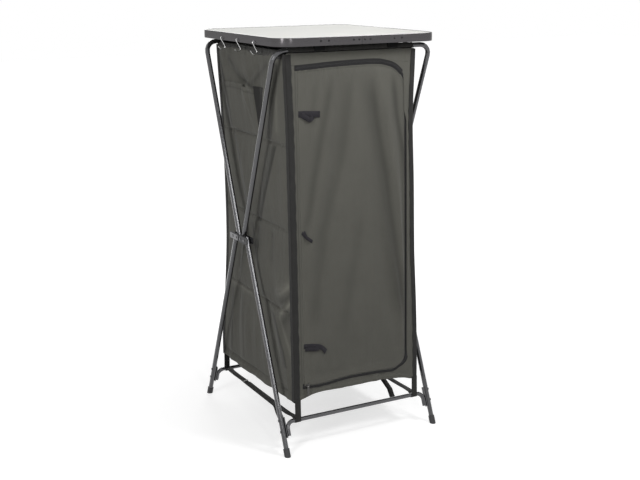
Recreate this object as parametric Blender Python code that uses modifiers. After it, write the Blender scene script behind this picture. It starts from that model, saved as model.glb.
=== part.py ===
"""Folding camping cupboard: an X-shaped tube frame that carries a table top and a hanging fabric cupboard.

Units are metres. +Z is up, the door faces -Y, and the origin is on the floor under the middle of the top.
The side pocket and the hooks are on the -X side.
"""

import math

import bmesh
import bpy
from mathutils import Matrix, Vector

# Table top
TOP_WIDTH = 0.560
TOP_DEPTH = 0.600
HEIGHT = 1.300
RIM_HEIGHT = 0.025
RIM_WALL = 0.0015
RIM_LIP = 0.005
LIP_THICKNESS = 0.0012
RIM_EDGE_RADIUS = 0.0007
CORNER_RADIUS = 0.060
BOARD_THICKNESS = 0.009
RIVET_RADIUS = 0.0026
RIVET_HEIGHT = 0.0009
RIVET_DROP = 0.0105
RIM_JOINT_RIVETS = (0.010, 0.029)
RIM_SIDE_RIVETS = (0.1145, 0.1410)
RIM_JOINT_GROOVE = 0.0005
BOARD_STEP_LAP = 0.001

# Clearances between neighbouring pieces
GAP = 0.0004
PIVOT_CLEARANCE = 0.0003

# Tube frame
TUBE_RADIUS = 0.008
TUBE_WALL = 0.0012
FRAME_HALF_WIDTH = 0.275
CROSS_TUBE_INSET = 0.045
CROSS_TUBE_DROP = 0.013
CROSS_BEND_RADIUS = 0.038
HUB_HEIGHT = 0.646
PIVOT_PITCH = 0.027
TUBE_END_LENGTH = 0.009
FOOT_REACH = 0.012
RAIL_RADIUS = 0.007
RAIL_WALL = 0.001
RAIL_HEIGHT = 0.098
RAIL_BEND_RADIUS = 0.022
RAIL_END_HEIGHT = 0.057
RAIL_PLATE_TOP = 0.114
RAIL_PLATE_WIDTH = 0.015
RAIL_PLATE_THICKNESS = 0.0034
RAIL_PLATE_EDGE = 0.0008
RAIL_PLATE_BELOW = 0.004
LEG_RIVET_HEIGHTS = (0.073, 0.106)

# Foot caps
CAP_RADIUS = 0.0102
CAP_LENGTH = 0.026
CAP_FLOOR = 0.007
CAP_EDGE = 0.0009

# Hubs
HUB_LENGTH = 0.128
HUB_DEPTH = 0.022
HUB_INNER_THICKNESS = 0.003
HUB_HOUSING_THICKNESS = 0.0042
HUB_PLATE_THICKNESS = 0.0016
HUB_PLATE_MARGIN = 0.002
PIN_RADIUS = 0.0025
PIN_HEAD_RADIUS = 0.0046
PIN_HEAD_HEIGHT = 0.0014
PIN_BURY = 0.001

# Seats under the table top
SEAT_X = 0.128
SEAT_WIDTH = 0.036
SEAT_DROP = 0.003
SEAT_WALL = 0.0042
SEAT_INNER_REACH = 0.009
SEAT_CLEARANCE = 0.0005
SEAT_EDGE = 0.0012

# Fabric body
CLOTH = 0.0016
BODY_WIDTH = 0.450
WALL_CLEARANCE = 0.0014
FRONT_STAND_OFF = 0.0105
FRONT_HEM_FLARE = 0.0085
SIDE_HEM = 0.150
FRONT_HEM_CORNER = 0.158
FRONT_HEM_ARCH = 0.020
BINDING_FRONT = 0.021
BINDING_SIDE = 0.015
BINDING_THICKNESS = 0.0014
BINDING_MARGIN = 0.004
SIDE_BILLOW = 0.005
SIDE_FOLD = 0.0018
BACK_BILLOW = 0.004
ROOF_DROP = 0.0035
ROOF_SAG = 0.004

# How far each corner of the body stands off half the body width, at these shares of the wall from its top
CORNER_SHARES = (0.0, 0.19, 0.38, 0.59, 0.755, 0.91, 1.0)
LEFT_FRONT_OFFSETS = (0.0050, 0.0025, 0.0, -0.0025, -0.0045, -0.0060, -0.0070)
RIGHT_FRONT_OFFSETS = (-0.0165, -0.0155, -0.0035, 0.0045, 0.0085, 0.0105, 0.0110)
BACK_OFFSETS = (0.0060, -0.0025, -0.0080, -0.0070, 0.0020, 0.0105, 0.0090)

# Door and zip
DOOR_LEFT = -0.2055
DOOR_RIGHT = 0.179
DOOR_LEAN = 0.011
DOOR_HINGE_CLEARANCE = 0.0022
DOOR_GAP = 0.001
ZIP_TOP_DROP = 0.0355
ZIP_BOTTOM_RISE = 0.0265
ZIP_HALF_WIDTH = 0.0062
ZIP_TOP_RADIUS = 0.074
ZIP_BOTTOM_RADIUS = 0.046
RIDGE_TOP_X = 0.0935
RIDGE_BOTTOM_X = 0.178
RIDGE_HEIGHT = 0.0085
RIDGE_SPREAD = 0.015
VALLEY_DEPTH = 0.0035
VALLEY_SHIFT = 0.036
VALLEY_SPREAD = 0.020
SWELL_HEIGHT = 0.0028
SWELL_SHIFT = 0.115
SWELL_DRIFT = 0.030
SWELL_SPREAD = 0.034
EDGE_SWELL_HEIGHT = 0.0018
EDGE_SWELL_SHIFT = 0.075
EDGE_SWELL_SPREAD = 0.030
FOLD_MARGIN = 0.030

# Shelves
SHELF_COUNT = 4
TOP_COMPARTMENT_EXTRA = 0.0118
FLOOR_HEIGHT = 0.184
SHELF_THICKNESS = 0.008
SHELF_COVER = 0.002
SHELF_CLEARANCE = 0.002
SHELF_EDGE = 0.0012
SHELF_BOARD_EDGE = 0.0005

# Top bands round the cross tubes
BAND_THICKNESS = 0.0014
BAND_DROP = 0.0235
BAND_FRONT_SHIFT = -0.013
BAND_HALF_LENGTH = 0.218
SLEEVE_CLEARANCE = 0.0007
SLEEVE_START = -40
SLEEVE_END = 285

# Webbing straps at the bottom corners
STRAP_WIDTH = 0.021
STRAP_THICKNESS = 0.0014
STRAP_LEFT_X = -0.2245
STRAP_RIGHT_X = 0.2180
STRAP_TOP = 0.1660
STRAP_RUN_HEIGHT = 0.1045
STRAP_FRONT_REACH = 0.090
STRAP_LEAD = 0.018
STRAP_OVERLAP = 0.030
STRAP_STEP = 0.008
STRAP_BELOW_HEM = 0.002
STRAP_TAILS = {
    "left": ((-0.128, 0.1015), (-0.137, 0.097), (-0.150, 0.081), (-0.172, 0.064)),
    "right": ((-0.045, 0.1015), (-0.060, 0.094), (-0.118, 0.067), (-0.138, 0.041)),
}

# Ties: the sewn end's place as a share of the door from its top, the length and the sag, upper tie first
TIE_SHARES = (0.1344, 0.5057, 0.8711)
TIE_LENGTHS = (0.080, 0.044, 0.078)
TIE_SAGS = (0.034, 0.036, 0.022)
TIE_START = 0.002
TIE_WIDTH = 0.011
TIE_LIFT = 0.007

# Zip slider and pull
SLIDER_X = -0.1835
SLIDER_SIZE = (0.011, 0.0056, 0.0100)
SLIDER_EDGE = 0.0014
PULL_LENGTH = 0.033
PULL_WIDTH = 0.0075
PULL_THICKNESS = 0.0016
PULL_EYE_RADIUS = 0.0018
PULL_EYE_INSET = 0.0008
PULL_EYE_DROP = 0.002
PULL_EDGE = 0.0006

# Side pocket
POCKET_FRONT_Y = -0.045
POCKET_BACK_Y = 0.190
POCKET_DROP = 0.1155
POCKET_HEIGHT = 0.150
POCKET_DIP = 0.006
POCKET_BULGE = 0.020
POCKET_CLEARANCE = 0.0014

# Hooks
HOOK_SPACING = 0.120
HOOK_CENTRE_Y = -0.013
HOOK_HOLE_DROP = 0.0170
HOOK_HOLE_RADIUS = 0.0032
HOOK_WIRE_RADIUS = 0.0014
HOOK_BOWL_RADIUS = 0.0115
HOOK_LENGTH = 0.0345
HOOK_TURNS = (0.0, 10.0, -16.0)
HOOK_END = 0.0041
HOOK_HOLE_PLAY = 0.0006
HOOK_BELOW_RIM = 0.0022
HOOK_BEND_RADIUS = 0.0019
HOOK_BOWL_SHIFT = 0.0015

# Roundness
TUBE_SIDES_STEPS = 4
WIRE_SIDES_STEPS = 2
BEND_STEPS = 5
CORNER_STEPS = 6
ROWS_PER_COMPARTMENT = 5
WALL_COLUMNS = 10
PIN_SIDES = 10
HOLE_SIDES = 10

# How far a cutting shape reaches past what it cuts
CUT_ROOM = 0.040

# Heights and places that follow from the sizes above
RIM_BOTTOM = HEIGHT - RIM_HEIGHT
BOARD_EDGE_TOP = HEIGHT - LIP_THICKNESS - PIVOT_CLEARANCE
BOARD_BOTTOM = BOARD_EDGE_TOP - BOARD_THICKNESS
LEDGE_TOP = BOARD_BOTTOM - PIVOT_CLEARANCE
CROSS_TUBE_Y = TOP_DEPTH / 2 - CROSS_TUBE_INSET
CROSS_TUBE_Z = RIM_BOTTOM - CROSS_TUBE_DROP
FOOT_Y = TOP_DEPTH / 2 + FOOT_REACH
FRONT_TOP_Y = CROSS_TUBE_Y + FRONT_STAND_OFF
FRONT_HEM_Y = FRONT_TOP_Y + FRONT_HEM_FLARE
SLEEVE_RADIUS = TUBE_RADIUS + SLEEVE_CLEARANCE + BAND_THICKNESS
WALL_TOP = CROSS_TUBE_Z - SLEEVE_RADIUS - WALL_CLEARANCE
ZIP_TOP = WALL_TOP - ZIP_TOP_DROP
ZIP_BOTTOM = FLOOR_HEIGHT + ZIP_BOTTOM_RISE
BAND_BOTTOM = WALL_TOP - BAND_DROP
POCKET_TOP = WALL_TOP - POCKET_DROP
POCKET_BOTTOM = POCKET_TOP - POCKET_HEIGHT
UPPER_PIVOT_Y = PIVOT_PITCH / 2
LOWER_PIVOT_Y = PIVOT_PITCH * 3 / 2
HOOK_HOLE_Z = HEIGHT - HOOK_HOLE_DROP
SHELF_PITCH = (WALL_TOP - TOP_COMPARTMENT_EXTRA - FLOOR_HEIGHT) / SHELF_COUNT
WALL_ROWS = SHELF_COUNT * ROWS_PER_COMPARTMENT
ROW_HEIGHT = SHELF_PITCH / ROWS_PER_COMPARTMENT
WALL_HEIGHTS = (SIDE_HEM, *(FLOOR_HEIGHT + ROW_HEIGHT * row for row in range(WALL_ROWS + 1)), WALL_TOP)
SIDE_SIGN = {"left": -1, "right": 1}
FACE_SIGN = {"front": -1, "back": 1}
CORNER_OFFSETS = {
    ("left", "front"): LEFT_FRONT_OFFSETS,
    ("right", "front"): RIGHT_FRONT_OFFSETS,
    ("left", "back"): BACK_OFFSETS,
    ("right", "back"): BACK_OFFSETS,
}


def clear_scene():
    for obj in list(bpy.data.objects):
        bpy.data.objects.remove(obj, do_unlink=True)


def collection(name):
    group = bpy.data.collections.new(name)
    bpy.context.scene.collection.children.link(group)
    return group


def material(name, color, roughness, metallic=0.0):
    mat = bpy.data.materials.new(name)
    mat.use_nodes = True
    shader = mat.node_tree.nodes["Principled BSDF"]
    shader.inputs["Base Color"].default_value = (*color, 1.0)
    shader.inputs["Roughness"].default_value = roughness
    shader.inputs["Metallic"].default_value = metallic
    mat.diffuse_color = (*color, 1.0)
    return mat


clear_scene()
PARTS = collection("camping_cupboard")
CUTTERS = collection("cutters")
STEEL = material("painted_steel", (0.085, 0.085, 0.088), 0.35, 0.6)
RIM = material("rim_aluminium", (0.10, 0.095, 0.095), 0.38, 0.8)
LAMINATE = material("white_laminate", (0.76, 0.76, 0.72), 0.45)
OLIVE = material("olive_fabric", (0.095, 0.095, 0.072), 0.85)
BLACK_TAPE = material("black_webbing", (0.028, 0.028, 0.027), 0.80)
BLACK_PLASTIC = material("black_plastic", (0.030, 0.030, 0.031), 0.50)
ZINC = material("zinc_plate", (0.42, 0.42, 0.43), 0.35, 1.0)
HOOK_STEEL = material("bright_wire", (0.60, 0.60, 0.60), 0.22, 1.0)
BOARD = material("shelf_board", (0.30, 0.22, 0.15), 0.70)
SLIDER_METAL = material("dark_zip_metal", (0.06, 0.06, 0.06), 0.35, 1.0)


def add_object(name, mesh, mat, group=None):
    obj = bpy.data.objects.new(name, mesh)
    (group or PARTS).objects.link(obj)
    if mat is not None:
        mesh.materials.clear()
        mesh.materials.append(mat)
    return obj


def as_cutter(obj):
    obj.hide_render = True
    obj.display_type = "WIRE"
    return obj


def smooth(obj, angle=35):
    obj.data.shade_smooth()
    obj.data.set_sharp_from_angle(angle=math.radians(angle))
    return obj


def curve_mesh(curve, name):
    """The curve's shape as a welded mesh."""
    holder = bpy.data.objects.new(name + "_curve", curve)
    bpy.context.scene.collection.objects.link(holder)
    depsgraph = bpy.context.evaluated_depsgraph_get()
    mesh = bpy.data.meshes.new_from_object(holder.evaluated_get(depsgraph))
    mesh.name = name
    bpy.data.objects.remove(holder, do_unlink=True)
    welded = bmesh.new()
    welded.from_mesh(mesh)
    bmesh.ops.remove_doubles(welded, verts=welded.verts, dist=0.00001)
    welded.to_mesh(mesh)
    welded.free()
    return mesh


def poly_curve(name, points, cyclic=False, flat=False):
    """A curve of straight pieces through the points."""
    curve = bpy.data.curves.new(name, "CURVE")
    curve.dimensions = "2D" if flat else "3D"
    spline = curve.splines.new("POLY")
    spline.points.add(len(points) - 1)
    for spot, point in zip(spline.points, points):
        spot.co = (*Vector(point).to_3d(), 1.0)
    spline.use_cyclic_u = cyclic
    return curve


def solidify(obj, thickness, offset=-1.0):
    shell = obj.modifiers.new("thickness", "SOLIDIFY")
    shell.thickness = thickness
    shell.offset = offset
    shell.use_even_offset = True
    return obj


def bevel(obj, width, segments=2, angle=40):
    edge = obj.modifiers.new("edges", "BEVEL")
    edge.width = width
    edge.segments = segments
    edge.limit_method = "ANGLE"
    edge.angle_limit = math.radians(angle)
    return obj


def boolean(obj, other, operation="DIFFERENCE"):
    cut = obj.modifiers.new(operation.lower(), "BOOLEAN")
    cut.operation = operation
    cut.solver = "EXACT"
    cut.object = other
    return obj


def rounded_path(points, radius, steps=BEND_STEPS):
    """The points with each inner corner replaced by an arc of the given radius."""
    points = [Vector(point) for point in points]
    path = [points[0]]
    for before, corner, after in zip(points, points[1:], points[2:]):
        back = (before - corner).normalized()
        ahead = (after - corner).normalized()
        half = back.angle(ahead) / 2
        reach = radius / math.tan(half)
        centre = corner + (back + ahead).normalized() * (radius / math.sin(half))
        start = corner + back * reach - centre
        end = corner + ahead * reach - centre
        sweep = start.angle(end)
        for step in range(steps + 1):
            share = step / steps
            arc = (start * math.sin((1 - share) * sweep) + end * math.sin(share * sweep)) / math.sin(sweep)
            path.append(centre + arc)
    path.append(points[-1])
    return path


def tube(name, points, radius, wall, mat):
    """A hollow tube, open at both ends, along the points."""
    curve = poly_curve(name, points)
    curve.bevel_depth = radius
    curve.bevel_resolution = TUBE_SIDES_STEPS
    obj = add_object(name, curve_mesh(curve, name), mat)
    solidify(obj, wall)
    return smooth(obj)


def wire(name, points, radius, mat, origin):
    """A solid round wire along points given from its origin."""
    curve = poly_curve(name, points)
    curve.bevel_depth = radius
    curve.bevel_resolution = WIRE_SIDES_STEPS
    curve.use_fill_caps = True
    obj = add_object(name, curve_mesh(curve, name), mat)
    obj.location = origin
    return smooth(obj)


def rod(name, start, end, radius, mat=None, group=None, sides=HOLE_SIDES):
    """A closed cylinder from start to end."""
    start, end = Vector(start), Vector(end)
    mesh = bpy.data.meshes.new(name)
    form = bmesh.new()
    bmesh.ops.create_cone(form, cap_ends=True, segments=sides, radius1=radius, radius2=radius,
                          depth=(end - start).length)
    turn = Vector((0, 0, 1)).rotation_difference(end - start).to_matrix().to_4x4()
    bmesh.ops.transform(form, matrix=Matrix.Translation((start + end) / 2) @ turn, verts=form.verts)
    form.to_mesh(mesh)
    form.free()
    return add_object(name, mesh, mat, group)


def block(name, low, high, mat=None, group=None, turn=None):
    """A box from its low corner to its high corner, turned about its centre if a rotation is given."""
    low, high = Vector(low), Vector(high)
    mesh = bpy.data.meshes.new(name)
    form = bmesh.new()
    bmesh.ops.create_cube(form, size=1.0)
    size = Matrix.Diagonal((*(high - low), 1.0))
    spin = turn.to_4x4() if turn is not None else Matrix.Identity(4)
    bmesh.ops.transform(form, matrix=Matrix.Translation((low + high) / 2) @ spin @ size, verts=form.verts)
    form.to_mesh(mesh)
    form.free()
    return add_object(name, mesh, mat, group)


def rounded_rectangle(half_x, half_y, radius, steps=CORNER_STEPS):
    points = []
    for turn in range(4):
        sign_x = 1 if turn in (0, 3) else -1
        sign_y = 1 if turn in (0, 1) else -1
        for step in range(steps + 1):
            angle = math.pi / 2 * (turn + step / steps)
            points.append((sign_x * (half_x - radius) + radius * math.cos(angle),
                           sign_y * (half_y - radius) + radius * math.sin(angle), 0.0))
    return points


def prism(name, outline, low, high, mat=None, group=None):
    """A flat outline in the XY plane, raised from low to high."""
    curve = poly_curve(name, outline, cyclic=True, flat=True)
    curve.fill_mode = "BOTH"
    curve.extrude = (high - low) / 2
    mesh = curve_mesh(curve, name)
    mesh.transform(Matrix.Translation((0, 0, (low + high) / 2)))
    return add_object(name, mesh, mat, group)


def sheet(name, columns, rows, place, thickness, mat, offset=-1.0, origin=None):
    """Cloth: a grid whose points go where place(u, v) says, with u and v from 0 to 1, given a thickness."""
    bpy.ops.mesh.primitive_grid_add(x_subdivisions=columns, y_subdivisions=rows, size=1.0)
    obj = bpy.context.active_object
    for group in list(obj.users_collection):
        group.objects.unlink(obj)
    PARTS.objects.link(obj)
    obj.name = name
    obj.data.name = name
    shift = Vector(origin) if origin is not None else Vector((0, 0, 0))
    for vertex in obj.data.vertices:
        vertex.co = Vector(place(vertex.co.x + 0.5, vertex.co.y + 0.5)) - shift
    obj.location = shift
    obj.data.materials.append(mat)
    solidify(obj, thickness, offset)
    return smooth(obj, 60)


def ribbon(name, path, centre_x, width, thickness, mat):
    """Webbing whose edge follows (y, z) points, with its width along X."""
    curve = poly_curve(name, [(y, z, 0.0) for y, z in path])
    curve.extrude = width / 2
    mesh = curve_mesh(curve, name)
    stand = Matrix(((0, 0, 1, centre_x), (1, 0, 0, 0), (0, 1, 0, 0), (0, 0, 0, 1)))
    mesh.transform(stand)
    obj = add_object(name, mesh, mat)
    solidify(obj, thickness, 0.0)
    return smooth(obj, 60)


def pivot(name, position, children):
    """An empty on a joint's axis that carries the pieces which move together."""
    empty = bpy.data.objects.new(name, None)
    empty.empty_display_size = 0.04
    empty.location = position
    PARTS.objects.link(empty)
    bpy.context.view_layer.update()
    for child in children:
        child.parent = empty
        child.matrix_parent_inverse = empty.matrix_world.inverted()
    return empty


def leg_y(z):
    """Distance of a leg's centre line from the middle plane at height z."""
    return FOOT_Y + (LOWER_PIVOT_Y - FOOT_Y) * z / HUB_HEIGHT


def drill_x(obj, side, y, z, radius, label):
    """A hole along X through a tube or plate of one side frame."""
    near, far = side * FRAME_HALF_WIDTH - CUT_ROOM, side * FRAME_HALF_WIDTH + CUT_ROOM
    cutter = rod(f"{obj.name}_{label}", (near, y, z), (far, y, z), radius, None, CUTTERS)
    return boolean(obj, as_cutter(cutter))


def make_upper_frame(face):
    """A bent tube from one hub, under the table top, to the other hub."""
    sign = FACE_SIGN[face]
    foot = Vector((0, sign * UPPER_PIVOT_Y, HUB_HEIGHT))
    head = Vector((0, sign * CROSS_TUBE_Y, CROSS_TUBE_Z))
    end = foot - (head - foot).normalized() * TUBE_END_LENGTH
    points = []
    for side, spots in ((-1, (end, head)), (1, (head, end))):
        points += [spot + Vector((side * FRAME_HALF_WIDTH, 0, 0)) for spot in spots]
    frame = tube(f"upper_{face}_tube", rounded_path(points, CROSS_BEND_RADIUS), TUBE_RADIUS, TUBE_WALL, STEEL)
    for label, side in SIDE_SIGN.items():
        drill_x(frame, side, foot.y, foot.z, PIN_RADIUS + PIVOT_CLEARANCE, f"{label}_pivot_hole")
    return frame


def make_leg(face, side):
    """A straight tube from its hub pin into its foot cap, with holes for the rail's rivets."""
    sign, edge = FACE_SIGN[face], SIDE_SIGN[side]
    x = edge * FRAME_HALF_WIDTH
    head = Vector((x, sign * LOWER_PIVOT_Y, HUB_HEIGHT))
    foot = Vector((x, sign * FOOT_Y, 0))
    along = (foot - head).normalized()
    start = head - along * TUBE_END_LENGTH
    end = foot - along * (CAP_FLOOR + PIVOT_CLEARANCE)
    leg = tube(f"leg_{face}_{side}", [start, end], TUBE_RADIUS, TUBE_WALL, STEEL)
    drill_x(leg, edge, head.y, head.z, PIN_RADIUS + PIVOT_CLEARANCE, "pivot_hole")
    for index, height in enumerate(LEG_RIVET_HEIGHTS):
        drill_x(leg, edge, sign * leg_y(height), height, PIN_RADIUS + PIVOT_CLEARANCE, f"rivet_hole_{index}")
    return leg


def make_foot_cap(face, side):
    """A turned cap round the leg's end, cut flat where it stands."""
    sign, edge = FACE_SIGN[face], SIDE_SIGN[side]
    socket = TUBE_RADIUS + GAP
    profile = [(0, CAP_FLOOR), (socket, CAP_FLOOR), (socket, CAP_LENGTH), (CAP_RADIUS - CAP_EDGE, CAP_LENGTH),
               (CAP_RADIUS, CAP_LENGTH - CAP_EDGE), (CAP_RADIUS, -CAP_RADIUS), (0, -CAP_RADIUS)]
    mesh = bpy.data.meshes.new(f"foot_cap_{face}_{side}")
    form = bmesh.new()
    corners = [form.verts.new((radius, 0, height)) for radius, height in profile]
    for first, second in zip(corners, corners[1:]):
        form.edges.new((first, second))
    form.to_mesh(mesh)
    form.free()
    cap = add_object(mesh.name, mesh, BLACK_PLASTIC)
    turn = cap.modifiers.new("turned", "SCREW")
    turn.steps = 16
    turn.render_steps = 16
    turn.use_merge_vertices = True
    turn.merge_threshold = 0.00001
    foot = Vector((edge * FRAME_HALF_WIDTH, sign * FOOT_Y, 0))
    upward = Vector((0, sign * (LOWER_PIVOT_Y - FOOT_Y), HUB_HEIGHT))
    cap.rotation_mode = "QUATERNION"
    cap.rotation_quaternion = Vector((0, 0, 1)).rotation_difference(upward)
    cap.location = foot
    room = Vector((CUT_ROOM, CUT_ROOM, 0))
    ground = block(f"{cap.name}_ground", foot - room - Vector((0, 0, CUT_ROOM)), foot + room, None, CUTTERS)
    boolean(cap, as_cutter(ground))
    return smooth(cap)


def make_rail(face):
    """The bottom cross tube with its ends bent down along the legs, an end plate and two rivets at each."""
    sign = FACE_SIGN[face]
    plate_outer = FRAME_HALF_WIDTH - TUBE_RADIUS - PIVOT_CLEARANCE
    plate_inner = plate_outer - RAIL_PLATE_THICKNESS
    bury = RAIL_WALL * 0.6
    x = plate_inner + bury - RAIL_RADIUS
    points = []
    for side, heights in ((-1, (RAIL_END_HEIGHT, RAIL_HEIGHT)), (1, (RAIL_HEIGHT, RAIL_END_HEIGHT))):
        points += [Vector((side * x, sign * leg_y(height), height)) for height in heights]
    rail = tube(f"rail_{face}", rounded_path(points, RAIL_BEND_RADIUS), RAIL_RADIUS, RAIL_WALL, STEEL)
    slope = math.atan2(sign * (LOWER_PIVOT_Y - FOOT_Y), HUB_HEIGHT)
    low, high = RAIL_END_HEIGHT - RAIL_PLATE_BELOW, RAIL_PLATE_TOP
    middle = (low + high) / 2
    half_length = (high - low) / 2 / math.cos(slope)
    for label, side in SIDE_SIGN.items():
        near, far = sorted((side * plate_inner, side * plate_outer))
        y = sign * leg_y(middle)
        plate = block(f"{rail.name}_{label}_plate", (near, y - RAIL_PLATE_WIDTH / 2, middle - half_length),
                      (far, y + RAIL_PLATE_WIDTH / 2, middle + half_length), None, CUTTERS,
                      Matrix.Rotation(-slope, 3, "X"))
        bevel(plate, RAIL_PLATE_EDGE, 1)
        boolean(rail, as_cutter(plate), "UNION")
        leg_face = side * (FRAME_HALF_WIDTH + TUBE_RADIUS + PIVOT_CLEARANCE)
        for index, height in enumerate(LEG_RIVET_HEIGHTS):
            spot = sign * leg_y(height)
            rivet = headed_pin(f"{rail.name}_{label}_rivet_{index}", side * (plate_outer - PIN_BURY),
                               leg_face, spot, height)
            boolean(rail, as_cutter(rivet), "UNION")
    return rail


def headed_pin(name, root_x, head_x, y, z):
    """A pin along X whose head begins at head_x, as one turned shape."""
    out = math.copysign(1, head_x)
    length = abs(head_x - root_x)
    head = length + PIN_HEAD_HEIGHT
    profile = [(0, head), (PIN_HEAD_RADIUS * 0.72, head), (PIN_HEAD_RADIUS, head - PIN_HEAD_HEIGHT * 0.55),
               (PIN_HEAD_RADIUS, length), (PIN_RADIUS, length), (PIN_RADIUS, 0), (0, 0)]
    mesh = bpy.data.meshes.new(name)
    form = bmesh.new()
    corners = [form.verts.new((radius, 0, height)) for radius, height in profile]
    edges = [form.edges.new(pair) for pair in zip(corners, corners[1:])]
    bmesh.ops.spin(form, geom=corners + edges, axis=(0, 0, 1), cent=(0, 0, 0), steps=PIN_SIDES,
                   angle=math.tau)
    bmesh.ops.remove_doubles(form, verts=form.verts, dist=0.00001)
    bmesh.ops.recalc_face_normals(form, faces=form.faces)
    lay = Vector((0, 0, 1)).rotation_difference(Vector((out, 0, 0))).to_matrix().to_4x4()
    bmesh.ops.transform(form, matrix=Matrix.Translation((root_x, y, z)) @ lay, verts=form.verts)
    form.to_mesh(mesh)
    form.free()
    return add_object(name, mesh, None, CUTTERS)


def hub_outline(half_length, half_height):
    return rounded_rectangle(half_height, half_length, half_height * 0.55, 4)


def hub_layer(name, side, inner, outer, y_low, y_high, margin, mat):
    """One flat layer of a hub, between two distances from the middle plane."""
    half_length = (y_high - y_low) / 2
    layer = prism(name, hub_outline(half_length, HUB_DEPTH / 2 - margin), inner, outer, mat)
    middle = (y_low + y_high) / 2
    stand = Matrix(((0, 0, side, 0), (0, 1, 0, middle), (-side, 0, 0, HUB_HEIGHT), (0, 0, 0, 1)))
    layer.data.transform(stand)
    return layer


def make_hub(side):
    """Inner plate with four pins, outer plastic housing, and a metal plate over the two rear pins."""
    edge = SIDE_SIGN[side]
    inner_face = FRAME_HALF_WIDTH - TUBE_RADIUS - PIVOT_CLEARANCE
    outer_face = FRAME_HALF_WIDTH + TUBE_RADIUS + PIVOT_CLEARANCE
    housing_face = outer_face + HUB_HOUSING_THICKNESS
    plate_face = housing_face + GAP + HUB_PLATE_THICKNESS
    half = HUB_LENGTH / 2
    inner = hub_layer(f"hub_{side}_inner_plate", edge, inner_face - HUB_INNER_THICKNESS, inner_face,
                      -half, half, 0.0, STEEL)
    housing = hub_layer(f"hub_{side}_housing", edge, outer_face, housing_face,
                        -half, half, 0.0, BLACK_PLASTIC)
    plate = hub_layer(f"hub_{side}_plate", edge, housing_face + GAP, plate_face, HUB_PLATE_MARGIN / 2,
                      half - HUB_PLATE_MARGIN, HUB_PLATE_MARGIN, ZINC)
    for face, sign in FACE_SIGN.items():
        cover = plate_face if face == "back" else housing_face
        for level, y in (("upper", sign * UPPER_PIVOT_Y), ("lower", sign * LOWER_PIVOT_Y)):
            label = f"{face}_{level}"
            pin = headed_pin(f"hub_{side}_{label}_pin", edge * (inner_face - PIN_BURY),
                             edge * (cover + PIVOT_CLEARANCE), y, HUB_HEIGHT)
            boolean(inner, as_cutter(pin), "UNION")
            drill_x(housing, edge, y, HUB_HEIGHT, PIN_RADIUS + PIVOT_CLEARANCE, label)
            if face == "back":
                drill_x(plate, edge, y, HUB_HEIGHT, PIN_RADIUS + PIVOT_CLEARANCE, label)
    return [inner, housing, plate]


def loft(name, rings, mat):
    """A closed ring-shaped solid whose section joins the rings in order and the last to the first."""
    mesh = bpy.data.meshes.new(name)
    form = bmesh.new()
    loops = [[form.verts.new(point) for point in ring] for ring in rings]
    for this, following in zip(loops, loops[1:] + loops[:1]):
        count = len(this)
        for index in range(count):
            after = (index + 1) % count
            form.faces.new((this[index], this[after], following[after], following[index]))
    bmesh.ops.recalc_face_normals(form, faces=form.faces)
    form.to_mesh(mesh)
    form.free()
    return add_object(name, mesh, mat)


def rim_section():
    """The rim's section as (inset, height): outer wall, lip over the board, and a ledge under it."""
    edge, under_lip, under_ledge = RIM_EDGE_RADIUS, HEIGHT - LIP_THICKNESS, LEDGE_TOP - LIP_THICKNESS
    return [(0.0, RIM_BOTTOM + edge), (0.0, HEIGHT - edge), (edge, HEIGHT), (RIM_LIP, HEIGHT),
            (RIM_LIP, under_lip), (RIM_WALL, under_lip), (RIM_WALL, LEDGE_TOP), (RIM_LIP, LEDGE_TOP),
            (RIM_LIP, under_ledge), (RIM_WALL, under_ledge), (RIM_WALL, RIM_BOTTOM), (edge, RIM_BOTTOM)]


def make_rim():
    """The extruded section bent round the table, with hook holes, rivets and the joint's groove."""
    half_x, half_y = TOP_WIDTH / 2, TOP_DEPTH / 2
    rings = []
    for inset, height in rim_section():
        outline = rounded_rectangle(half_x - inset, half_y - inset, CORNER_RADIUS - inset)
        rings.append([(x, y, height) for x, y, _ in outline])
    rim = loft("table_rim", rings, RIM)
    reach = 2 * RIM_LIP
    for index in range(len(HOOK_TURNS)):
        spot = Vector((-half_x, hook_y(index), HOOK_HOLE_Z))
        side = Vector((reach, 0, 0))
        hole = rod(f"table_rim_hook_hole_{index}", spot - side, spot + side, HOOK_HOLE_RADIUS, None, CUTTERS)
        boolean(rim, as_cutter(hole))
    rivet_z = HEIGHT - RIVET_DROP
    for offset in RIM_JOINT_RIVETS + RIM_SIDE_RIVETS:
        for side in (-1, 1):
            root = -half_y + RIM_WALL / 2
            head = rod(f"table_rim_rivet_{side}_{offset}", (side * offset, root, rivet_z),
                       (side * offset, -half_y - RIVET_HEIGHT, rivet_z), RIVET_RADIUS, None, CUTTERS)
            boolean(rim, as_cutter(head), "UNION")
    half_groove = RIM_JOINT_GROOVE / 2
    groove = block("table_rim_joint", (-half_groove, -half_y - reach, RIM_BOTTOM - reach),
                   (half_groove, -half_y + RIM_JOINT_GROOVE, HEIGHT + reach), None, CUTTERS)
    boolean(rim, as_cutter(groove))
    return smooth(rim)


def board_outline(inset):
    return rounded_rectangle(TOP_WIDTH / 2 - inset, TOP_DEPTH / 2 - inset, CORNER_RADIUS - inset)


def make_board():
    """A board whose edge is stepped down under the rim's lip, so that its surface is flush with the lip."""
    board = prism("table_board", board_outline(RIM_WALL + GAP), BOARD_BOTTOM, BOARD_EDGE_TOP, LAMINATE)
    surface = prism("table_board_surface", board_outline(RIM_LIP + GAP), BOARD_EDGE_TOP - BOARD_STEP_LAP,
                    HEIGHT, None, CUTTERS)
    return boolean(board, as_cutter(surface), "UNION")


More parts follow.
